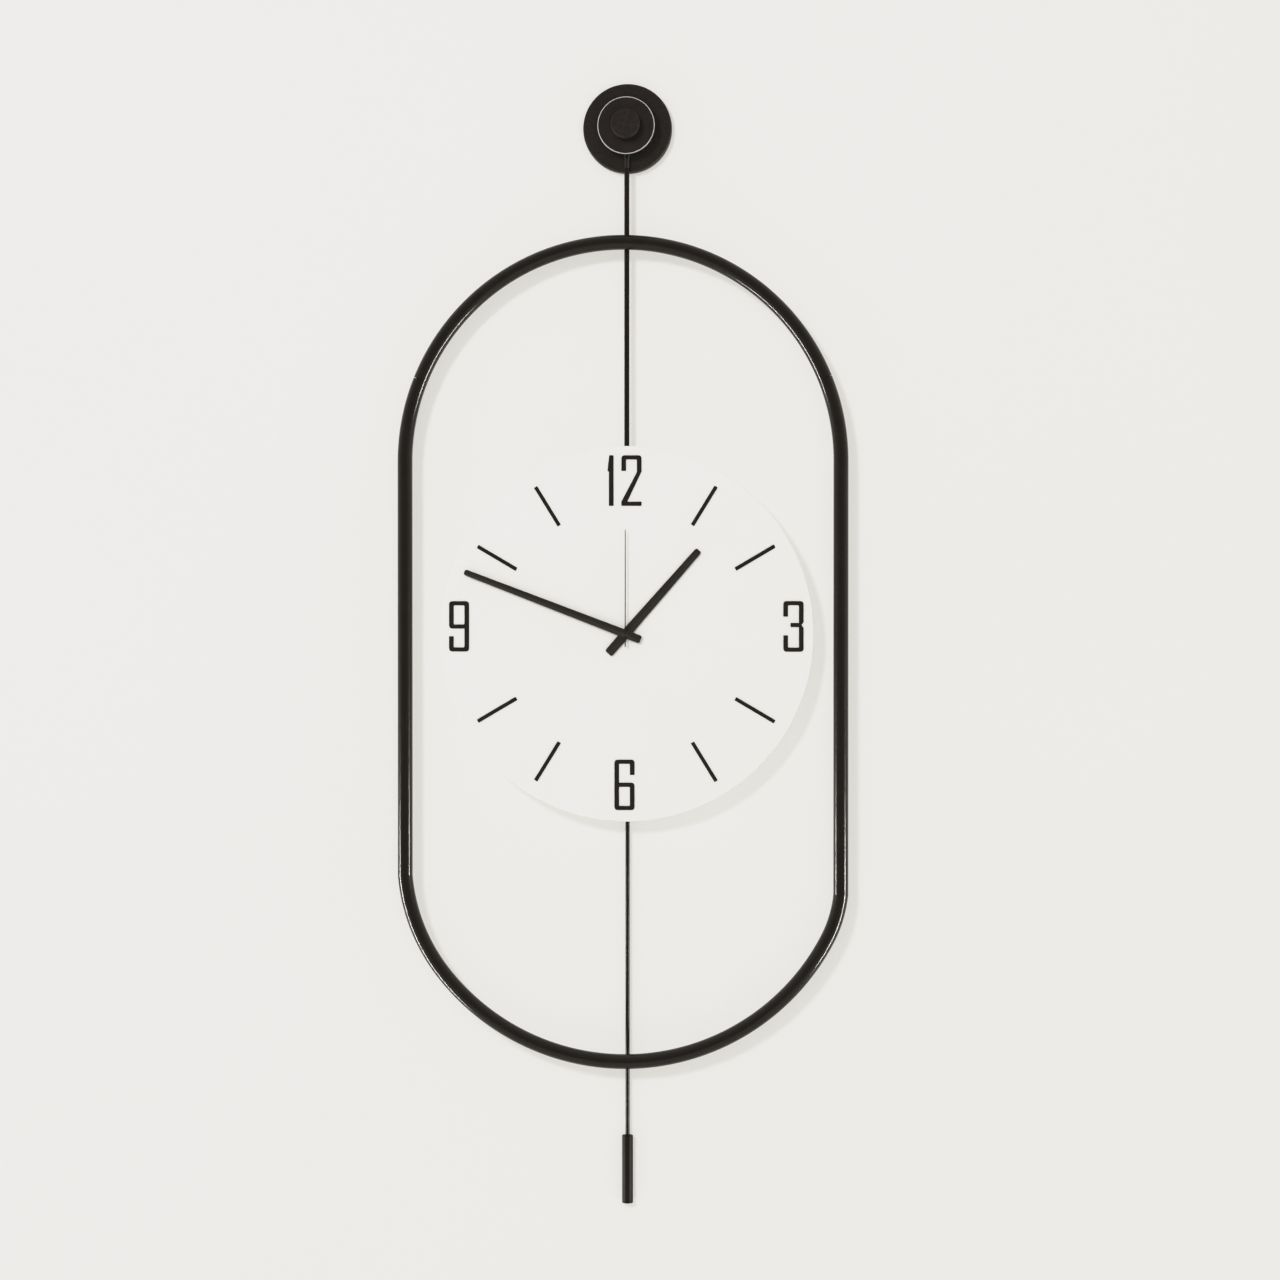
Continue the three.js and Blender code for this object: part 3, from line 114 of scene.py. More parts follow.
# Hands: lengths of tip and tail from the hub, widths at hub and end, bearing in degrees, and depths.
HOUR_HAND = dict(tip=88.7, tail=21.0, hub=7.7, end=5.6, points=41.3, back=-28.9, flank=0.85, ridge=1.7)
MINUTE_HAND = dict(tip=138.3, tail=13.1, hub=6.6, end=4.7, points=291, back=-31.1, flank=0.75, ridge=1.6)
NEEDLE = dict(tip=83.0, tail=10.4, half_hub=0.42, half_tip=0.34, back=-33.3, thick=0.45)
NEEDLE_CAP = dict(radius=1.5, back=-32.95, front=-34.3)

PENDULUM_PLANE = -5.6
PENDULUM_ROD_RADIUS = 1.7
PENDULUM_ROD_TOP, PENDULUM_ROD_BOTTOM = -457.6, -819.3
WEIGHT_RADIUS = 4.4
WEIGHT_TOP, WEIGHT_BOTTOM = -810.6, -865.4
WEIGHT_BORE_DEPTH = 9.0


# ---------------------------------------------------------------------------------------------
# Finishes
# ---------------------------------------------------------------------------------------------

def shaded(colour, factor):
    return (*[min(1.0, channel * factor) for channel in colour], 1.0)


def finish(name, colour, roughness, metallic=0.0, coat=0.0, mottle=0.12, mottle_size=12.0,
           rough_spread=0.04, grain=0.004, grain_size=0.5, specular=0.5):
    """A surface whose colour and gloss drift slightly, with a fine grain in its relief. Sizes in mm."""
    material = bpy.data.materials.new(name)
    material.use_nodes = True
    nodes, links = material.node_tree.nodes, material.node_tree.links
    shader = nodes["Principled BSDF"]
    shader.inputs["Metallic"].default_value = metallic
    shader.inputs["Specular IOR Level"].default_value = specular
    shader.inputs["Coat Weight"].default_value = coat
    shader.inputs["Coat Roughness"].default_value = 0.12

    place = nodes.new("ShaderNodeTexCoord")

    def noise(size, detail):
        texture = nodes.new("ShaderNodeTexNoise")
        texture.inputs["Scale"].default_value = 1 / (size * MM)
        texture.inputs["Detail"].default_value = detail
        links.new(place.outputs["Object"], texture.inputs["Vector"])
        return texture.outputs["Fac"]

    low, high = 0.3, 0.7  # the noise hardly leaves this range
    ramp = nodes.new("ShaderNodeValToRGB")
    ramp.color_ramp.elements[0].position = low
    ramp.color_ramp.elements[1].position = high
    ramp.color_ramp.elements[0].color = shaded(colour, 1 - mottle)
    ramp.color_ramp.elements[1].color = shaded(colour, 1 + mottle)
    links.new(noise(mottle_size, 3.0), ramp.inputs["Fac"])
    links.new(ramp.outputs["Color"], shader.inputs["Base Color"])

    spread = nodes.new("ShaderNodeMapRange")
    spread.inputs["From Min"].default_value = low
    spread.inputs["From Max"].default_value = high
    spread.inputs["To Min"].default_value = roughness - rough_spread
    spread.inputs["To Max"].default_value = roughness + rough_spread
    links.new(noise(mottle_size / 3, 4.0), spread.inputs["Value"])
    links.new(spread.outputs["Result"], shader.inputs["Roughness"])

    bump = nodes.new("ShaderNodeBump")
    bump.inputs["Distance"].default_value = grain * MM
    links.new(noise(grain_size, 2.0), bump.inputs["Height"])
    links.new(bump.outputs["Normal"], shader.inputs["Normal"])
    return material


def banded(material, axis, size, depth):
    """Adds fine parallel ridges across one axis, as on a wound coil. Sizes in mm."""
    nodes, links = material.node_tree.nodes, material.node_tree.links
    place = next(n for n in nodes if n.type == "TEX_COORD")
    fine = next(n for n in nodes if n.type == "BUMP")
    wave = nodes.new("ShaderNodeTexWave")
    wave.bands_direction = axis
    wave.inputs["Scale"].default_value = math.pi / 10 / (size * MM)
    wave.inputs["Distortion"].default_value = 0.4
    bump = nodes.new("ShaderNodeBump")
    bump.inputs["Distance"].default_value = depth * MM
    links.new(place.outputs["Object"], wave.inputs["Vector"])
    links.new(wave.outputs["Fac"], bump.inputs["Height"])
    links.new(fine.outputs["Normal"], bump.inputs["Normal"])
    links.new(bump.outputs["Normal"], nodes["Principled BSDF"].inputs["Normal"])


BLACK = (0.0115, 0.0084, 0.0066)
HOOK_BLACK = (0.021, 0.0168, 0.015)
HAND_BLACK = (0.019, 0.0155, 0.0135)
DARK_GLOSS = 0.34  # share of full reflectance on the dark enamels

TUBE_ENAMEL = finish("tube_enamel", BLACK, 0.17, mottle=0.15, rough_spread=0.004, grain=0.0003,
                     grain_size=0.9, specular=DARK_GLOSS)
ROD_ENAMEL = finish("rod_enamel", BLACK, 0.26, mottle=0.15, rough_spread=0.02, grain=0.0005,
                    grain_size=0.6, specular=0.22)
WEIGHT_ENAMEL = finish("weight_enamel", BLACK, 0.5, mottle=0.15, grain=0.001, specular=0.12)
PLUG_PAINT = finish("plug_paint", BLACK, 0.7, mottle=0.15, specular=0.1)
HOOK_PAINT = finish("hook_powder_coat", HOOK_BLACK, 0.5, mottle=0.2, mottle_size=3.0,
                    grain=0.006, grain_size=0.35, specular=0.2)
DISC_ENAMEL = finish("disc_enamel", HOOK_BLACK, 0.4, mottle=0.15, grain=0.001, specular=0.2)
# matt pale grey for the disc's bare chamfer, lighter than bare metal would look: a painted highlight that
# shows as an even bright line all round
BARE_RIM_AND_HIGHLIGHT = finish("bare_rim_and_highlight", (0.5, 0.49, 0.47), 0.62, mottle=0.04, grain=0.001, specular=0.15)
HAND_ENAMEL = finish("hand_enamel", HAND_BLACK, 0.34, mottle=0.15, grain=0.002, specular=DARK_GLOSS)
NEEDLE_ENAMEL = finish("needle_enamel", BLACK, 0.4, grain=0.001)
DIAL_LACQUER = finish("dial_lacquer", (0.82, 0.812, 0.79), 0.5, mottle=0.012, mottle_size=60.0,
                      grain=0.006, grain_size=1.2, specular=0.35)
NUMERAL_RESIN = finish("numeral_resin", BLACK, 0.38, mottle=0.12, grain=0.002, specular=DARK_GLOSS)
WIRE_STEEL = finish("wire_steel", (0.1, 0.094, 0.088), 0.3, metallic=1.0, mottle=0.1, mottle_size=4.0)
ZINC_STEEL = finish("zinc_steel", (0.52, 0.53, 0.54), 0.33, metallic=1.0, mottle=0.14, mottle_size=5.0,
                    rough_spread=0.08, grain=0.004, grain_size=0.4)
BRASS = finish("turned_brass", (0.62, 0.43, 0.17), 0.3, metallic=1.0, mottle=0.12, mottle_size=3.0)
CASE_MOULDING = finish("case_moulding", (0.018, 0.018, 0.019), 0.52, mottle=0.15, mottle_size=8.0,
                       grain=0.03, grain_size=0.45)
KNOB_MOULDING = finish("knob_moulding", (0.028, 0.028, 0.03), 0.4, mottle=0.1, grain=0.01)
ARM_MOULDING = finish("arm_moulding", (0.021, 0.021, 0.022), 0.45, mottle=0.12,
                      grain=0.015, grain_size=0.4)
WHEEL_MOULDING = finish("wheel_moulding", (0.76, 0.74, 0.68), 0.4, mottle=0.04, grain=0.004)
COPPER = finish("copper_winding", (0.6, 0.24, 0.11), 0.3, metallic=1.0, mottle=0.15, mottle_size=2.0)
banded(COPPER, "X", size=0.25, depth=0.06)
SOLDER_MASK = finish("solder_mask", (0.02, 0.12, 0.04), 0.35, coat=0.4,
                     mottle=0.2, mottle_size=2.5, grain=0.01)
FERRITE = finish("ferrite", (0.055, 0.055, 0.058), 0.45, metallic=0.4,
                 mottle=0.25, mottle_size=1.5, grain=0.02, grain_size=0.3)
BATTERY_SLEEVE = finish("battery_sleeve", (0.05, 0.055, 0.065), 0.25, coat=0.5, mottle=0.1, grain=0.002)
BATTERY_BAND = finish("battery_band", (0.55, 0.3, 0.1), 0.28, metallic=0.7, coat=0.4, mottle=0.08)
CAN_STEEL = finish("battery_can", (0.62, 0.6, 0.57), 0.25, metallic=1.0, mottle=0.08, mottle_size=3.0)

SLOT_FINISHES = {
    "black_paint": HOOK_PAINT,
    "gloss_black": TUBE_ENAMEL,
    "steel": ZINC_STEEL,
    "brass": BRASS,
    "white_lacquer": DIAL_LACQUER,
    "black_moulding": CASE_MOULDING,
    "white_moulding": WHEEL_MOULDING,
    "copper": COPPER,
    "board": SOLDER_MASK,
    "battery_sleeve": BATTERY_SLEEVE,
    "magnet": FERRITE,
}
NODE_SLOTS = {name: node.material_slots[0].material.name for name, node in frame["nodes"].items()}
NODE_BODIES = {name: node["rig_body"] for name, node in frame["nodes"].items()}
for name, node in frame["nodes"].items():
    painted = name.endswith("_plug")  # the frame is painted once its tubes are joined
    node.material_slots[0].material = PLUG_PAINT if painted else SLOT_FINISHES[NODE_SLOTS[name]]


# ---------------------------------------------------------------------------------------------
# Mesh building
# ---------------------------------------------------------------------------------------------

def rounded(corners, steps=5, ring=True):
    """Corners as (u, v) or (u, v, radius): each corner with a radius becomes an arc.

    A ring is a closed outline; otherwise the first and last corner are ends.
    """
    points = []
    count = len(corners)
    for i, (u, v, *radius) in enumerate(corners):
        here = Vector((u, v))
        inner = ring or 0 < i < count - 1
        if not radius or not inner:
            points.append(here)
            continue
        before = Vector(corners[i - 1][:2]) - here
        after = Vector(corners[(i + 1) % count][:2]) - here
        half = before.angle(after) / 2
        reach = radius[0] / math.tan(half)
        start, end = here + before.normalized() * reach, here + after.normalized() * reach
        centre = here + (before.normalized() + after.normalized()).normalized() * (radius[0] / math.sin(half))
        sweep = (start - centre).angle_signed(end - centre)
        for step in range(steps + 1):
            points.append(centre + Matrix.Rotation(-sweep * step / steps, 2) @ (start - centre))
    return points


# Each of these places a turned shape about a line along one axis.
def about_y(x=0.0, z=0.0):
    return lambda u, v, level: (x + u, level, z + v)


def about_z(x=0.0, y=0.0):
    return lambda u, v, level: (x + u, y + v, level)


def about_x(y=0.0, z=0.0):
    return lambda u, v, level: (level, y + u, z + v)


def turned(profile, sides, place, ring=False, radius_at=None):
    """A solid of revolution. The profile is a list of (radius, level); ring joins its end to its start."""
    vertices, faces, rings = [], [], []
    for radius, level in profile:
        if radius < 1e-6:
            vertices.append(place(0.0, 0.0, level))
            rings.append([len(vertices) - 1] * sides)
            continue
        rings.append(list(range(len(vertices), len(vertices) + sides)))
        for i in range(sides):
            angle = 2 * math.pi * i / sides
            reach = radius_at(radius, level, angle) if radius_at else radius
            vertices.append(place(reach * math.cos(angle), reach * math.sin(angle), level))
    pairs = list(zip(rings, rings[1:]))
    if ring:
        pairs.append((rings[-1], rings[0]))
    for low, high in pairs:
        for i in range(sides):
            j = (i + 1) % sides
            face = list(dict.fromkeys((low[i], low[j], high[j], high[i])))
            if len(face) > 2:
                faces.append(face)
    return vertices, faces


def swept(path, radius, sides, plane, mitres=(None, None)):
    """A round bar along a list of (x, z) points at one depth, with closed ends.

    mitres gives the direction of the cut at each end where it isn't square.
    """
    path = [Vector(point) for point in path]
    count = len(path)
    vertices, faces = [], []

    def side_of(direction):
        return Vector((-direction.y, direction.x)).normalized()

    for i, point in enumerate(path):
        back = (point - path[i - 1]).normalized() if i else None
        ahead = (path[i + 1] - point).normalized() if i < count - 1 else None
        along = ((back or ahead) + (ahead or back)).normalized()
        across, scale = side_of(along), 1.0
        if back and ahead:
            scale = 1 / max(0.5, across.dot(side_of(back)))
        mitre = mitres[0] if i == 0 else mitres[1] if i == count - 1 else None
        if mitre is not None:
            across = mitre if mitre.dot(side_of(along)) > 0 else -mitre
            scale = 1 / across.dot(side_of(along))
        for k in range(sides):
            angle = 2 * math.pi * k / sides
            reach = across * (radius * scale * math.cos(angle))
            vertices.append((point.x + reach.x, plane + radius * math.sin(angle), point.y + reach.y))

    for r in range(count - 1):
        for k in range(sides):
            a, b = r * sides + k, r * sides + (k + 1) % sides
            faces.append((a, b, b + sides, a + sides))
    faces.append(tuple(range(sides)))
    faces.append(tuple(range((count - 1) * sides, count * sides)))
    return vertices, faces


def add_piece(name, shape, material, node, sharp=32, extra=(), extra_for=None):
    """Makes a piece from a shape in mm. extra_for numbers each face's material, with 0 for the main one."""
    vertices, faces = shape
    mesh = bpy.data.meshes.new(name)
    mesh.from_pydata([Vector(v) * MM for v in vertices], [], faces)
    finish_mesh(mesh)
    return attach(name, mesh, material, node, sharp, extra, extra_for)


def finish_mesh(mesh):
    """Joins doubled points and turns every face outwards."""
    shape = bmesh.new()
    shape.from_mesh(mesh)
    bmesh.ops.remove_doubles(shape, verts=shape.verts, dist=1e-7)
    bmesh.ops.recalc_face_normals(shape, faces=shape.faces)
    shape.to_mesh(mesh)
    shape.free()


def attach(name, mesh, material, node, sharp, extra=(), extra_for=None):
    """Adds the object that stands for a CAD node, on its body and with its material slot."""
    obj = bpy.data.objects.new(name, mesh)
    bpy.context.scene.collection.objects.link(obj)
    for item in (material, *extra):
        mesh.materials.append(item)
    if extra_for:
        for polygon in mesh.polygons:
            polygon.material_index = extra_for(polygon)
    mesh.shade_smooth()
    mesh.set_sharp_from_angle(angle=math.radians(sharp))
    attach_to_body(obj, NODE_BODIES[node])
    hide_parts(node)
    return obj


def even_shading(obj):
    weighted = obj.modifiers.new("even_shading", "WEIGHTED_NORMAL")
    weighted.keep_sharp = True


def refined(node, width, material, segments=3):
    """The shape of a CAD node with its edges rounded by width, in mm, where its faces leave room for it."""
    shape = bmesh.new()
    shape.from_mesh(frame["nodes"][node].data)
    bmesh.ops.remove_doubles(shape, verts=shape.verts, dist=1e-6)
    bmesh.ops.dissolve_limit(shape, angle_limit=math.radians(1), verts=shape.verts, edges=shape.edges)
    sharp = [e for e in shape.edges if len(e.link_faces) == 2 and e.calc_face_angle(0) > math.radians(38)]
    bmesh.ops.bevel(shape, geom=sharp, offset=width * MM, segments=segments, profile=0.5, affect="EDGES",
                    clamp_overlap=True)
    bmesh.ops.recalc_face_normals(shape, faces=shape.faces)
    mesh = bpy.data.meshes.new(f"fine_{node}")
    shape.to_mesh(mesh)
    shape.free()
    obj = attach(mesh.name, mesh, material, node, sharp=50)
    even_shading(obj)
    return obj


# ---------------------------------------------------------------------------------------------
# Wall hook
# ---------------------------------------------------------------------------------------------

def build_hook():
    front = about_y()
    sheet = 1.2
    inside, back = ROSETTE_RADIUS - sheet, ROSETTE_FRONT + sheet
    foot_hole = SPINDLE_FOOT + GAP
    rosette = rounded([
        (foot_hole, ROSETTE_FRONT), (ROSETTE_RADIUS, ROSETTE_FRONT, 1.5), (ROSETTE_RADIUS, 0, 0.3),
        (inside, 0), (inside, back, 0.6), (foot_hole, back),
    ])
    add_piece("rosette", turned(rosette, 160, front, ring=True), HOOK_PAINT, "hook_rosette")

    seat = DISC_BACK + GAP
    spindle = rounded([
        (0, SPINDLE_BACK), (SPINDLE_FOOT, SPINDLE_BACK), (SPINDLE_FOOT, COLLAR_BACK),
        (COLLAR_RADIUS, COLLAR_BACK, 0.3), (COLLAR_RADIUS, COLLAR_FRONT, 0.5),
        (SPINDLE_RADIUS, COLLAR_FRONT, 0.4), (SPINDLE_RADIUS, seat), (SPINDLE_STUB, seat),
        (SPINDLE_STUB, SPINDLE_FRONT), (0, SPINDLE_FRONT),
    ], ring=False)
    add_piece("spindle", turned(spindle, 48, front), HOOK_PAINT, "hook_spindle")

    stub_hole = SPINDLE_STUB + GAP
    rim = DISC_FRONT + DISC_CHAMFER
    covered = 0.35 * DISC_CHAMFER  # the enamel covers the outer part of the bevel; the inner part is a pale grey band, a bare chamfer lightened into a painted highlight
    disc = rounded([
        (stub_hole, DISC_BACK), (DISC_RADIUS, DISC_BACK, 0.3), (DISC_RADIUS, rim),
        (DISC_RADIUS - covered, rim - covered), (DISC_RADIUS - DISC_CHAMFER, DISC_FRONT),
        (stub_hole, DISC_FRONT),
    ])

    # picks the faces of the inner bevel, which get the pale painted highlight
    def rim_highlight_faces(polygon):
        x, y, z = polygon.center
        outer = math.hypot(x, z) > (DISC_RADIUS - DISC_CHAMFER) * MM
        return 1 if outer and y < (rim - covered) * MM else 0

    add_piece("front_disc", turned(disc, 144, front, ring=True), DISC_ENAMEL, "hook_front_disc",
              extra=(BARE_RIM_AND_HIGHLIGHT,), extra_for=rim_highlight_faces)

    hole_end = SPINDLE_FRONT - 0.2
    button = rounded([
        (0, hole_end), (stub_hole, hole_end), (stub_hole, BUTTON_BACK), (BUTTON_RADIUS, BUTTON_BACK, 0.4),
        (BUTTON_RADIUS, BUTTON_FRONT, 0.8), (0, BUTTON_FRONT),
    ], ring=False)
    add_piece("button", turned(button, 96, front), HOOK_PAINT, "hook_button")
    refined("hook_base", 0.3, ZINC_STEEL)


def build_wall_screws():
    """Countersunk screws with a thread that starts below the plain neck and runs out at the point."""
    head, neck, core = 4.6, 2.2, 1.65  # radii
    face, neck_start, plain, tip = -3.0, -0.9, 4.0, 25.0  # depths
    head_edge = 0.3
    thread, pitch, crest = 0.55, 2.2, 3.2  # crest: how steeply the thread rises
    point, blunt = 4.5, 0.4
    off_centre, steps = 18, 120

    def threaded(radius, level, angle):
        if level < plain or level > tip - blunt:
            return radius
        phase = (level / pitch - angle / (2 * math.pi)) % 1
        taper = min(1.0, (tip - level) / point)
        return (core + thread * max(0.0, 1 - abs(phase - 0.5) * crest)) * taper

    shank = [(core, plain + (tip - plain) * i / steps) for i in range(steps)]
    profile = [
        (0, face), (head - 0.2, face), (head, face + head_edge), (neck, neck_start), (neck, plain - 0.2),
        *shank, (0, tip),
    ]
    for place, side in (("upper", 1), ("lower", -1)):
        shape = turned(profile, 24, about_y(0, side * off_centre), radius_at=threaded)
        add_piece(f"fine_wall_screw_{place}", shape, ZINC_STEEL, f"wall_screw_{place}", sharp=50)


# ---------------------------------------------------------------------------------------------
# Hanger
# ---------------------------------------------------------------------------------------------

def build_hanger():
    """A wire over the spindle, whose two strands come together and run down into the rod."""
    wrap = SPINDLE_RADIUS + GAP + WIRE_RADIUS
    strand = WIRE_RADIUS + GAP / 2
    neck = (1.75, -19.5)
    steps = 24
    angles = [math.pi * i / steps for i in range(steps + 1)]
    half_turn = [(wrap * math.cos(a), wrap * math.sin(a)) for a in angles]

    def curve(*points):
        return [tuple(p) for p in interpolate_bezier(*[Vector(q) for q in points], 12)]

    right = [
        *curve((wrap, 0), (wrap, -7.5), (2.35, -13.5), neck)[1:],
        *curve(neck, (1.4, -22.8), (strand, -24.0), (strand, -27.5))[1:],
        (strand, ROD_TOP - 1.0),
    ]
    left = [(-x, z) for x, z in right]
    route = [*reversed(right), *half_turn, *left]
    add_piece("wire_loop", swept(route, WIRE_RADIUS, 16, LOOP_PLANE), WIRE_STEEL, "hanger_loop", sharp=60)

    rod = rounded([
        (0, ROD_TOP), (ROD_RADIUS, ROD_TOP, 0.7), (ROD_RADIUS, ROD_BOTTOM, 0.5), (0, ROD_BOTTOM),
    ], ring=False)
    add_piece("upper_rod", turned(rod, 32, about_z(0, LOOP_PLANE)), ROD_ENAMEL, "hanger_rod")
    refined("dial_bracket", 0.35, ZINC_STEEL)


# ---------------------------------------------------------------------------------------------
# Oval frame
# ---------------------------------------------------------------------------------------------

def arc(centre, radius, start, end, step=4.0):
    """Points along an arc about (x, z)."""
    count = max(2, round(abs(end - start) * radius / step))
    angles = [start + (end - start) * i / count for i in range(count + 1)]
    return [(centre[0] + radius * math.cos(a), centre[1] + radius * math.sin(a)) for a in angles]


def end_bend(side, radius, kink):
    """One end of the bottom: the bend's centre, its kink's level and the angle where it joins the arc."""
    across = FRAME_HALF_WIDTH - side * BOTTOM_SHIFT - radius * math.cos(kink)
    join = math.acos(across / (BOTTOM_RADIUS - radius))
    x = FRAME_OFFSET + side * (FRAME_HALF_WIDTH - radius * math.cos(kink))
    z = BOTTOM_CENTRE - (BOTTOM_RADIUS - radius) * math.sin(join)
    return (x, z), z - radius * math.sin(kink), join


def build_frame():
    seam = HALF_SEAM / FRAME_HALF_WIDTH  # as an angle
    middle = (FRAME_OFFSET, UPPER_CENTRE)

    def add_tube(name, path, node, mitres=(None, None)):
        add_piece(name, swept(path, TUBE_RADIUS, 48, FRAME_PLANE, mitres), TUBE_ENAMEL, node, sharp=60)

    def mitre(side, kink):
        return Vector((side * math.cos(kink / 2), -math.sin(kink / 2)))

    def half_bottom(side, radius, kink):
        """From the kink down to the lowest point."""
        centre, _, join = end_bend(side, radius, kink)
        below = (lambda angle: -angle) if side > 0 else (lambda angle: math.pi + angle)
        bend = arc(centre, radius, below(kink + HALF_KINK / radius), below(join))
        low_centre = (FRAME_OFFSET + BOTTOM_SHIFT, BOTTOM_CENTRE)
        low = arc(low_centre, BOTTOM_RADIUS, below(join), below(math.pi / 2))
        return [*bend, *low[1:]]

    top = arc(middle, FRAME_HALF_WIDTH, SEAM_ANGLE + seam, math.pi - SEAM_ANGLE - seam)
    add_tube("tube_top", top, "frame_top_arc")

    left, right = (half_bottom(**END_BENDS[place]) for place in ("left", "right"))
    cuts = [mitre(bend["side"], bend["kink"]) for bend in END_BENDS.values()]
    add_tube("tube_bottom", [*left, *reversed(right[:-1])], "frame_bottom_arc", cuts)

    for (place, bend), cut in zip(END_BENDS.items(), cuts):
        side = bend["side"]
        _, kink_level, _ = end_bend(**bend)
        mirrored = (lambda angle: angle) if side > 0 else (lambda angle: math.pi - angle)
        shoulder = arc(middle, FRAME_HALF_WIDTH, mirrored(SEAM_ANGLE - seam), mirrored(0))
        straight_end = (FRAME_OFFSET + side * FRAME_HALF_WIDTH, kink_level + HALF_KINK)
        add_tube(f"tube_{place}", [*shoulder, straight_end], f"frame_{place}_side", (None, cut))


# ---------------------------------------------------------------------------------------------
# Dial, markings and hands
# ---------------------------------------------------------------------------------------------

def build_dial():
    disc = rounded([
        (DIAL_HOLE, DIAL_BACK), (DIAL_RADIUS, DIAL_BACK, 0.4), (DIAL_RADIUS, DIAL_FRONT, 0.8),
        (DIAL_HOLE, DIAL_FRONT, 0.3),
    ])
    add_piece("dial_disc", turned(disc, 288, about_y(0, DIAL_CENTRE), ring=True), DIAL_LACQUER, "dial")
    markings = [name for name in frame["nodes"] if name.startswith(("numeral_", "hour_mark_"))]
    for node in sorted(markings):
        seat_on_dial(refined(node, 0.22, NUMERAL_RESIN).data)


def seat_on_dial(mesh):
    """Brings a marking down on the lacquer, where it is glued."""
    levels = [vertex.co.y for vertex in mesh.vertices]
    back, front = max(levels), min(levels)
    for vertex in mesh.vertices:
        share = (back - vertex.co.y) / (back - front)
        vertex.co.y = (DIAL_FRONT - share * MARKING_HEIGHT) * MM


def hand_shape(hand, clip=1.6):
    """A tapering bar with clipped corners and a ridge along its middle, pointing up from its hub."""
    hub, end = hand["hub"] / 2, hand["end"] / 2
    tip, tail = hand["tip"], hand["tail"]
    tail_half = hub - (hub - end) * tail / tip
    right = [
        (tail_half - clip / 2, -tail), (tail_half, clip - tail), (hub, 0), (end, tip - clip),
        (end - clip / 2, tip),
    ]
    outline = [*right, *[(-x, z) for x, z in reversed(right)]]
    count = len(outline)
    levels = (hand["back"], hand["back"] - hand["flank"])
    vertices = [(x, level, z) for level in levels for x, z in outline]
    crest = hand["back"] - hand["ridge"]
    low_crest, hub_crest, high_crest = range(2 * count, 2 * count + 3)
    vertices += [(0, crest, tail_half - tail), (0, crest, 0), (0, crest, tip - end)]
    faces = [tuple(range(count))]
    faces += [(i, (i + 1) % count, count + (i + 1) % count, count + i) for i in range(count)]
    crest_of = [low_crest, low_crest, hub_crest, high_crest, high_crest]
    crest_of = [*crest_of, *reversed(crest_of)]
    for i in range(count):
        j = (i + 1) % count
        near, far = crest_of[i], crest_of[j]
        face = (count + i, count + j, far) if near == far else (count + i, count + j, far, near)
        faces.append(face)
    turn = Matrix.Rotation(math.radians(hand["points"]), 3, "Y")
    return [Vector((0, 0, DIAL_CENTRE)) + turn @ Vector(v) for v in vertices], faces


def soften(obj, width):
    bevel = obj.modifiers.new("edges", "BEVEL")
    bevel.width = width * MM
    bevel.segments = 3
    bevel.limit_method = "ANGLE"
    bevel.angle_limit = math.radians(8)
    even_shading(obj)


def build_hands():
    for name, hand in (("hour", HOUR_HAND), ("minute", MINUTE_HAND)):
        obj = add_piece(f"{name}_bar", hand_shape(hand), HAND_ENAMEL, f"{name}_hand", sharp=60)
        soften(obj, 0.12)


def build_second_hand():
    """A fine needle on a small round cap."""
    radius, cap_back, cap_front = NEEDLE_CAP["radius"], NEEDLE_CAP["back"], NEEDLE_CAP["front"]
    cap = [(0, cap_back), (radius, cap_back), (radius, cap_front, 0.35), (0, cap_front)]
    profile = rounded(cap, ring=False)
    vertices, faces = turned(profile, 32, about_y(0, DIAL_CENTRE))
    tip, tail, hub, end = NEEDLE["tip"], NEEDLE["tail"], NEEDLE["half_hub"], NEEDLE["half_tip"]
    outline = [(-hub, -tail), (hub, -tail), (hub, 0), (end, tip), (-end, tip), (-hub, 0)]
    levels = (NEEDLE["back"], NEEDLE["back"] - NEEDLE["thick"])
    start, count = len(vertices), len(outline)
    vertices += [(x, level, DIAL_CENTRE + z) for level in levels for x, z in outline]
    faces.append(tuple(range(start, start + count)))
    faces.append(tuple(range(start + count, start + 2 * count)))
    for i in range(count):
        j = (i + 1) % count
        faces.append((start + i, start + j, start + count + j, start + count + i))
    add_piece("second_needle", (vertices, faces), NEEDLE_ENAMEL, "second_hand")


# ---------------------------------------------------------------------------------------------
# Movement and pendulum
# ---------------------------------------------------------------------------------------------

def build_movement():
    refined("movement_housing", 0.35, CASE_MOULDING)
    refined("movement_cover", 0.3, CASE_MOULDING)
    refined("setting_knob", 0.18, KNOB_MOULDING, segments=2)


def build_battery():
    """An AA cell in a printed sleeve, with its minus end towards -X."""
    low, high = (Vector(corner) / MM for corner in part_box("battery"))
    centre = (low + high) / 2
    radius = (high.z - low.z) / 2
    minus, shoulder = low.x, high.x - 1.0
    dished = minus + 0.3
    button, band = 2.75, 14.0
    profile = rounded([
        (0, dished), (radius - 1.6, dished), (radius - 1.3, minus, 0.15), (radius - 0.5, minus, 0.2),
        (radius, minus + 0.5, 0.2), (radius, shoulder - 1.4, 0.3), (radius - 0.35, shoulder - 1.1, 0.3),
        (radius - 0.5, shoulder, 0.3), (button, shoulder), (button, high.x, 0.3), (0, high.x),
    ], steps=3, ring=False)

    def sleeve_or_can(polygon):
        """0 for the sleeve, 1 for its coloured band and 2 for the bare steel of the ends."""
        x, y, z = polygon.center / MM
        if math.hypot(y - centre.y, z - centre.z) < radius - 0.25:
            return 2
        return 1 if x > shoulder - band else 0

    profile = [p for pair in zip(profile, profile[1:]) for p in split_long(*pair, 4.0)] + [profile[-1]]
    add_piece("cell", turned(profile, 64, about_x(centre.y, centre.z)), BATTERY_SLEEVE, "battery",
              extra=(BATTERY_BAND, CAN_STEEL), extra_for=sleeve_or_can)


def split_long(start, end, step):
    count = max(1, math.ceil((end - start).length / step))
    return [start.lerp(end, i / count) for i in range(count)]


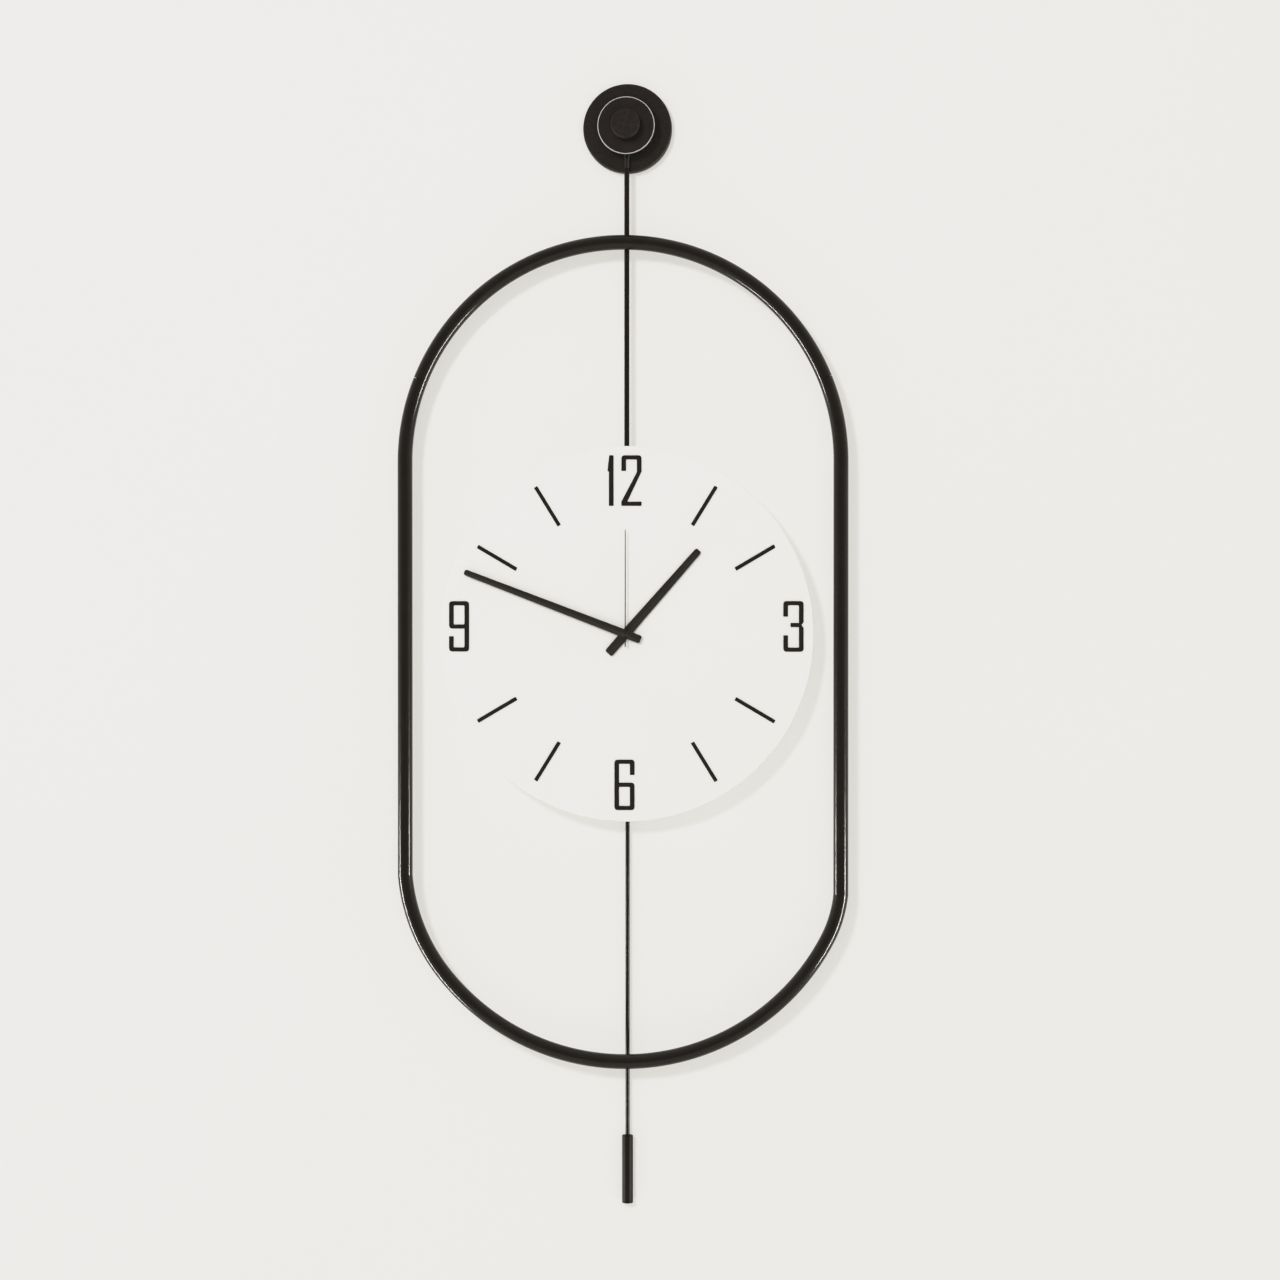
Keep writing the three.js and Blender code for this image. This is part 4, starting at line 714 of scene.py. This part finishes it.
def build_screws():
    """Pan-headed screws at the back of the dial, with a cross recess in the head."""
    head_radius, head_height, recess = 2.8, 1.6, 0.8
    shank, point, point_length = 1.3, 0.15, 1.9
    slot_reach, slot_half = 1.5, 0.38
    floor_scale = 0.55  # the recess narrows towards its floor
    arm = [Vector(p) for p in ((slot_half, slot_reach), (slot_half, slot_half), (slot_reach, slot_half))]
    cross = [Matrix.Rotation(-math.pi / 2 * quarter, 2) @ p for quarter in range(4) for p in arm]
    per_edge = 4
    sides = len(cross) * per_edge
    first = math.atan2(cross[0].y, cross[0].x)
    angles = [first - 2 * math.pi * i / sides for i in range(sides)]

    def even(points):
        edges = zip(points, points[1:] + points[:1])
        return [a.lerp(b, i / per_edge) for a, b in edges for i in range(per_edge)]

    def circle(radius):
        return [Vector((radius * math.cos(a), radius * math.sin(a))) for a in angles]

    for node in ("bracket_screw_left", "bracket_screw_right", "movement_screw_left", "movement_screw_right"):
        low, high = (Vector(corner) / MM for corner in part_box(node))
        x, z = (low.x + high.x) / 2, (low.z + high.z) / 2
        top = high.y
        seat = top - head_height
        outlines = [
            (even([p * floor_scale for p in cross]), top - recess), (even(cross), top),
            (circle(2.0), top), (circle(2.45), top - 0.12), (circle(2.7), top - 0.45),
            (circle(head_radius), top - 0.9), (circle(head_radius), seat),
            (circle(shank), seat), (circle(shank), low.y + point_length), (circle(point), low.y),
        ]
        vertices = [(x + p.x, level, z + p.y) for points, level in outlines for p in points]
        rings = [range(k * sides, (k + 1) * sides) for k in range(len(outlines))]
        faces = [tuple(rings[0]), tuple(rings[-1])]
        for a, b in zip(rings, rings[1:]):
            for i in range(sides):
                j = (i + 1) % sides
                faces.append((a[i], a[j], b[j], b[i]))
        add_piece(f"fine_{node}", (vertices, faces), ZINC_STEEL, node, sharp=35)


def build_pendulum():
    refined("pendulum_arm", 0.3, ARM_MOULDING)
    refined("pendulum_magnet", 0.25, FERRITE)
    rod = rounded([
        (0, PENDULUM_ROD_TOP), (PENDULUM_ROD_RADIUS, PENDULUM_ROD_TOP, 0.3),
        (PENDULUM_ROD_RADIUS, PENDULUM_ROD_BOTTOM, 0.3), (0, PENDULUM_ROD_BOTTOM),
    ], ring=False)
    add_piece("lower_rod", turned(rod, 32, about_z(0, PENDULUM_PLANE)), ROD_ENAMEL, "pendulum_rod")
    bore, bore_end = PENDULUM_ROD_RADIUS + GAP, WEIGHT_TOP - WEIGHT_BORE_DEPTH
    weight = rounded([
        (0, bore_end), (bore, bore_end), (bore, WEIGHT_TOP), (WEIGHT_RADIUS, WEIGHT_TOP, 0.5),
        (WEIGHT_RADIUS, WEIGHT_BOTTOM, 0.5), (0, WEIGHT_BOTTOM),
    ], ring=False)
    add_piece("weight", turned(weight, 64, about_z(0, PENDULUM_PLANE)), WEIGHT_ENAMEL, "pendulum_weight")


# ---------------------------------------------------------------------------------------------
# Stage, lights and camera (metres)
# ---------------------------------------------------------------------------------------------

ROOM_SIDES, ROOM_FRONT = 0.9, 0.3  # brightness of the room beside the clock and opposite it
WARM_LIGHT = (1.0, 0.985, 0.955)
WALL_GAP = 0.0004
WALL_COLOUR = (0.49, 0.483, 0.465)
WALL_GLOW = 0.36
GLOW_COLOUR = (1.0, 0.98, 0.935, 1.0)
BACKDROP_REACH, WALL_TOP, FLOOR_LEVEL = 6.0, 4.0, -2.5
CLOCK_MIDDLE = (0.0, 0.0, -0.42)
VIEW_CENTRE = Vector((0.0097, 0.0, -0.4114))
CAMERA_PLACE = Vector((0.165, -2.5, -0.392))
CAMERA_LENS = 87.26  # mm, on a 36 mm sensor
TONE_CURVE = ((0.03, 0.026), (0.3, 0.33), (0.6, 0.66), (0.8, 0.812), (0.9, 0.847))
BRIGHTEST = 0.875  # where the curve ends


def backdrop_paint(name):
    """Matt paint, evened out by a glow of its own so that shadows on it stay faint."""
    material = finish(name, WALL_COLOUR, 0.75, mottle=0.008, mottle_size=260.0, grain=0.05,
                      grain_size=3.0, specular=0.2)
    shader = material.node_tree.nodes["Principled BSDF"]
    shader.inputs["Emission Color"].default_value = GLOW_COLOUR
    shader.inputs["Emission Strength"].default_value = WALL_GLOW
    return material


def see_through_behind(material):
    """The wall isn't there for a viewer behind it, nor for lights behind it."""
    nodes, links = material.node_tree.nodes, material.node_tree.links
    output = nodes["Material Output"]
    geometry = nodes.new("ShaderNodeNewGeometry")
    path = nodes.new("ShaderNodeLightPath")
    either = nodes.new("ShaderNodeMath")
    either.operation = "MAXIMUM"
    clear = nodes.new("ShaderNodeBsdfTransparent")
    mix = nodes.new("ShaderNodeMixShader")
    links.new(geometry.outputs["Backfacing"], either.inputs[0])
    links.new(path.outputs["Is Shadow Ray"], either.inputs[1])
    links.new(either.outputs["Value"], mix.inputs["Fac"])
    links.new(nodes["Principled BSDF"].outputs["BSDF"], mix.inputs[1])
    links.new(clear.outputs["BSDF"], mix.inputs[2])
    links.new(mix.outputs["Shader"], output.inputs["Surface"])


def backdrop(name, corners, material):
    mesh = bpy.data.meshes.new(name)
    mesh.from_pydata(corners, [], [(0, 1, 2, 3)])
    mesh.materials.append(material)
    obj = bpy.data.objects.new(name, mesh)
    bpy.context.scene.collection.objects.link(obj)


def soft_light(name, place, target, width, height, power, glossy=False, diffuse=True):
    """A rectangular light. glossy shows it in reflections, and diffuse lets it light matt surfaces."""
    data = bpy.data.lights.new(name, "AREA")
    data.shape = "RECTANGLE"
    data.size, data.size_y = width, height
    data.energy = power
    data.color = WARM_LIGHT
    obj = bpy.data.objects.new(name, data)
    obj.location = place
    obj.rotation_mode = "QUATERNION"
    obj.rotation_quaternion = (Vector(target) - Vector(place)).to_track_quat("-Z", "Y")
    obj.visible_camera = False
    obj.visible_glossy = glossy
    obj.visible_diffuse = diffuse
    bpy.context.scene.collection.objects.link(obj)


def build_backdrops():
    wall_paint = backdrop_paint("wall_paint")
    see_through_behind(wall_paint)
    left, right, low, high = -BACKDROP_REACH, BACKDROP_REACH, FLOOR_LEVEL, WALL_TOP
    wall = [(left, WALL_GAP, low), (right, WALL_GAP, low), (right, WALL_GAP, high), (left, WALL_GAP, high)]
    backdrop("wall", wall, wall_paint)
    floor = [(left, left, low), (right, left, low), (right, right, low), (left, right, low)]
    backdrop("floor", floor, backdrop_paint("floor_paint"))


def tube_light(name, x, y, top, bottom, power):
    """A narrow upright light that draws a line along the frame's tubes."""
    level, width = (top + bottom) / 2, 0.12
    target = (0, y / 6, level)
    soft_light(name, (x, y, level), target, width, top - bottom, power, glossy=True, diffuse=False)


def build_lights():
    soft_light("key", (-0.95, -3.2, 0.75), CLOCK_MIDDLE, 0.4, 0.4, power=46)
    soft_light("fill", (0.3, -3.2, -0.2), CLOCK_MIDDLE, 2.5, 2.5, power=19)
    tube_light("left_strip", -1.6, -0.28, top=-0.66, bottom=-2.3, power=56)
    tube_light("right_strip", 1.6, -0.55, top=-0.66, bottom=-1.87, power=44)
    soft_light("rear_left", (-1.6, 1.8, 0.3), CLOCK_MIDDLE, 1.2, 1.2, power=12, glossy=True)
    soft_light("rear_right", (1.6, 1.8, 0.3), CLOCK_MIDDLE, 1.2, 1.2, power=8, glossy=True)


def build_room():
    """An even room that is brighter to the sides than opposite the clock."""
    world = bpy.data.worlds.new("room")
    world.use_nodes = True
    nodes, links = world.node_tree.nodes, world.node_tree.links
    background = nodes["Background"]
    background.inputs["Color"].default_value = (*WARM_LIGHT, 1.0)
    place = nodes.new("ShaderNodeTexCoord")
    facing = nodes.new("ShaderNodeVectorMath")
    facing.operation = "DOT_PRODUCT"
    facing.inputs[1].default_value = (0.0, -1.0, 0.0)
    falloff = nodes.new("ShaderNodeMapRange")
    falloff.inputs["From Min"].default_value = 0.0
    falloff.inputs["From Max"].default_value = 1.0
    falloff.inputs["To Min"].default_value = ROOM_SIDES
    falloff.inputs["To Max"].default_value = ROOM_FRONT
    links.new(place.outputs["Generated"], facing.inputs[0])
    links.new(facing.outputs["Value"], falloff.inputs["Value"])
    links.new(falloff.outputs["Result"], background.inputs["Strength"])
    bpy.context.scene.world = world


def build_exposure():
    """A bright exposure that rolls off gently towards white."""
    settings = bpy.context.scene.view_settings
    settings.view_transform = "Standard"
    settings.use_curve_mapping = True
    mapping = settings.curve_mapping
    combined = mapping.curves[3]
    combined.points[-1].location = (1.0, BRIGHTEST)
    for given, shown in TONE_CURVE:
        combined.points.new(given, shown)
    mapping.update()


def build_camera():
    data = bpy.data.cameras.new("camera")
    data.sensor_width = 36.0
    data.lens = CAMERA_LENS
    camera = bpy.data.objects.new("camera", data)
    camera.location = CAMERA_PLACE
    camera.rotation_mode = "QUATERNION"
    camera.rotation_quaternion = (VIEW_CENTRE - CAMERA_PLACE).to_track_quat("-Z", "Y")
    bpy.context.scene.collection.objects.link(camera)
    bpy.context.scene.camera = camera


build_camera()
build_backdrops()
build_lights()
build_room()
build_exposure()
build_hook()
build_wall_screws()
build_hanger()
build_frame()
build_dial()
build_hands()
build_second_hand()
build_movement()
build_battery()
build_screws()
build_pendulum()

bpy.context.view_layer.update()
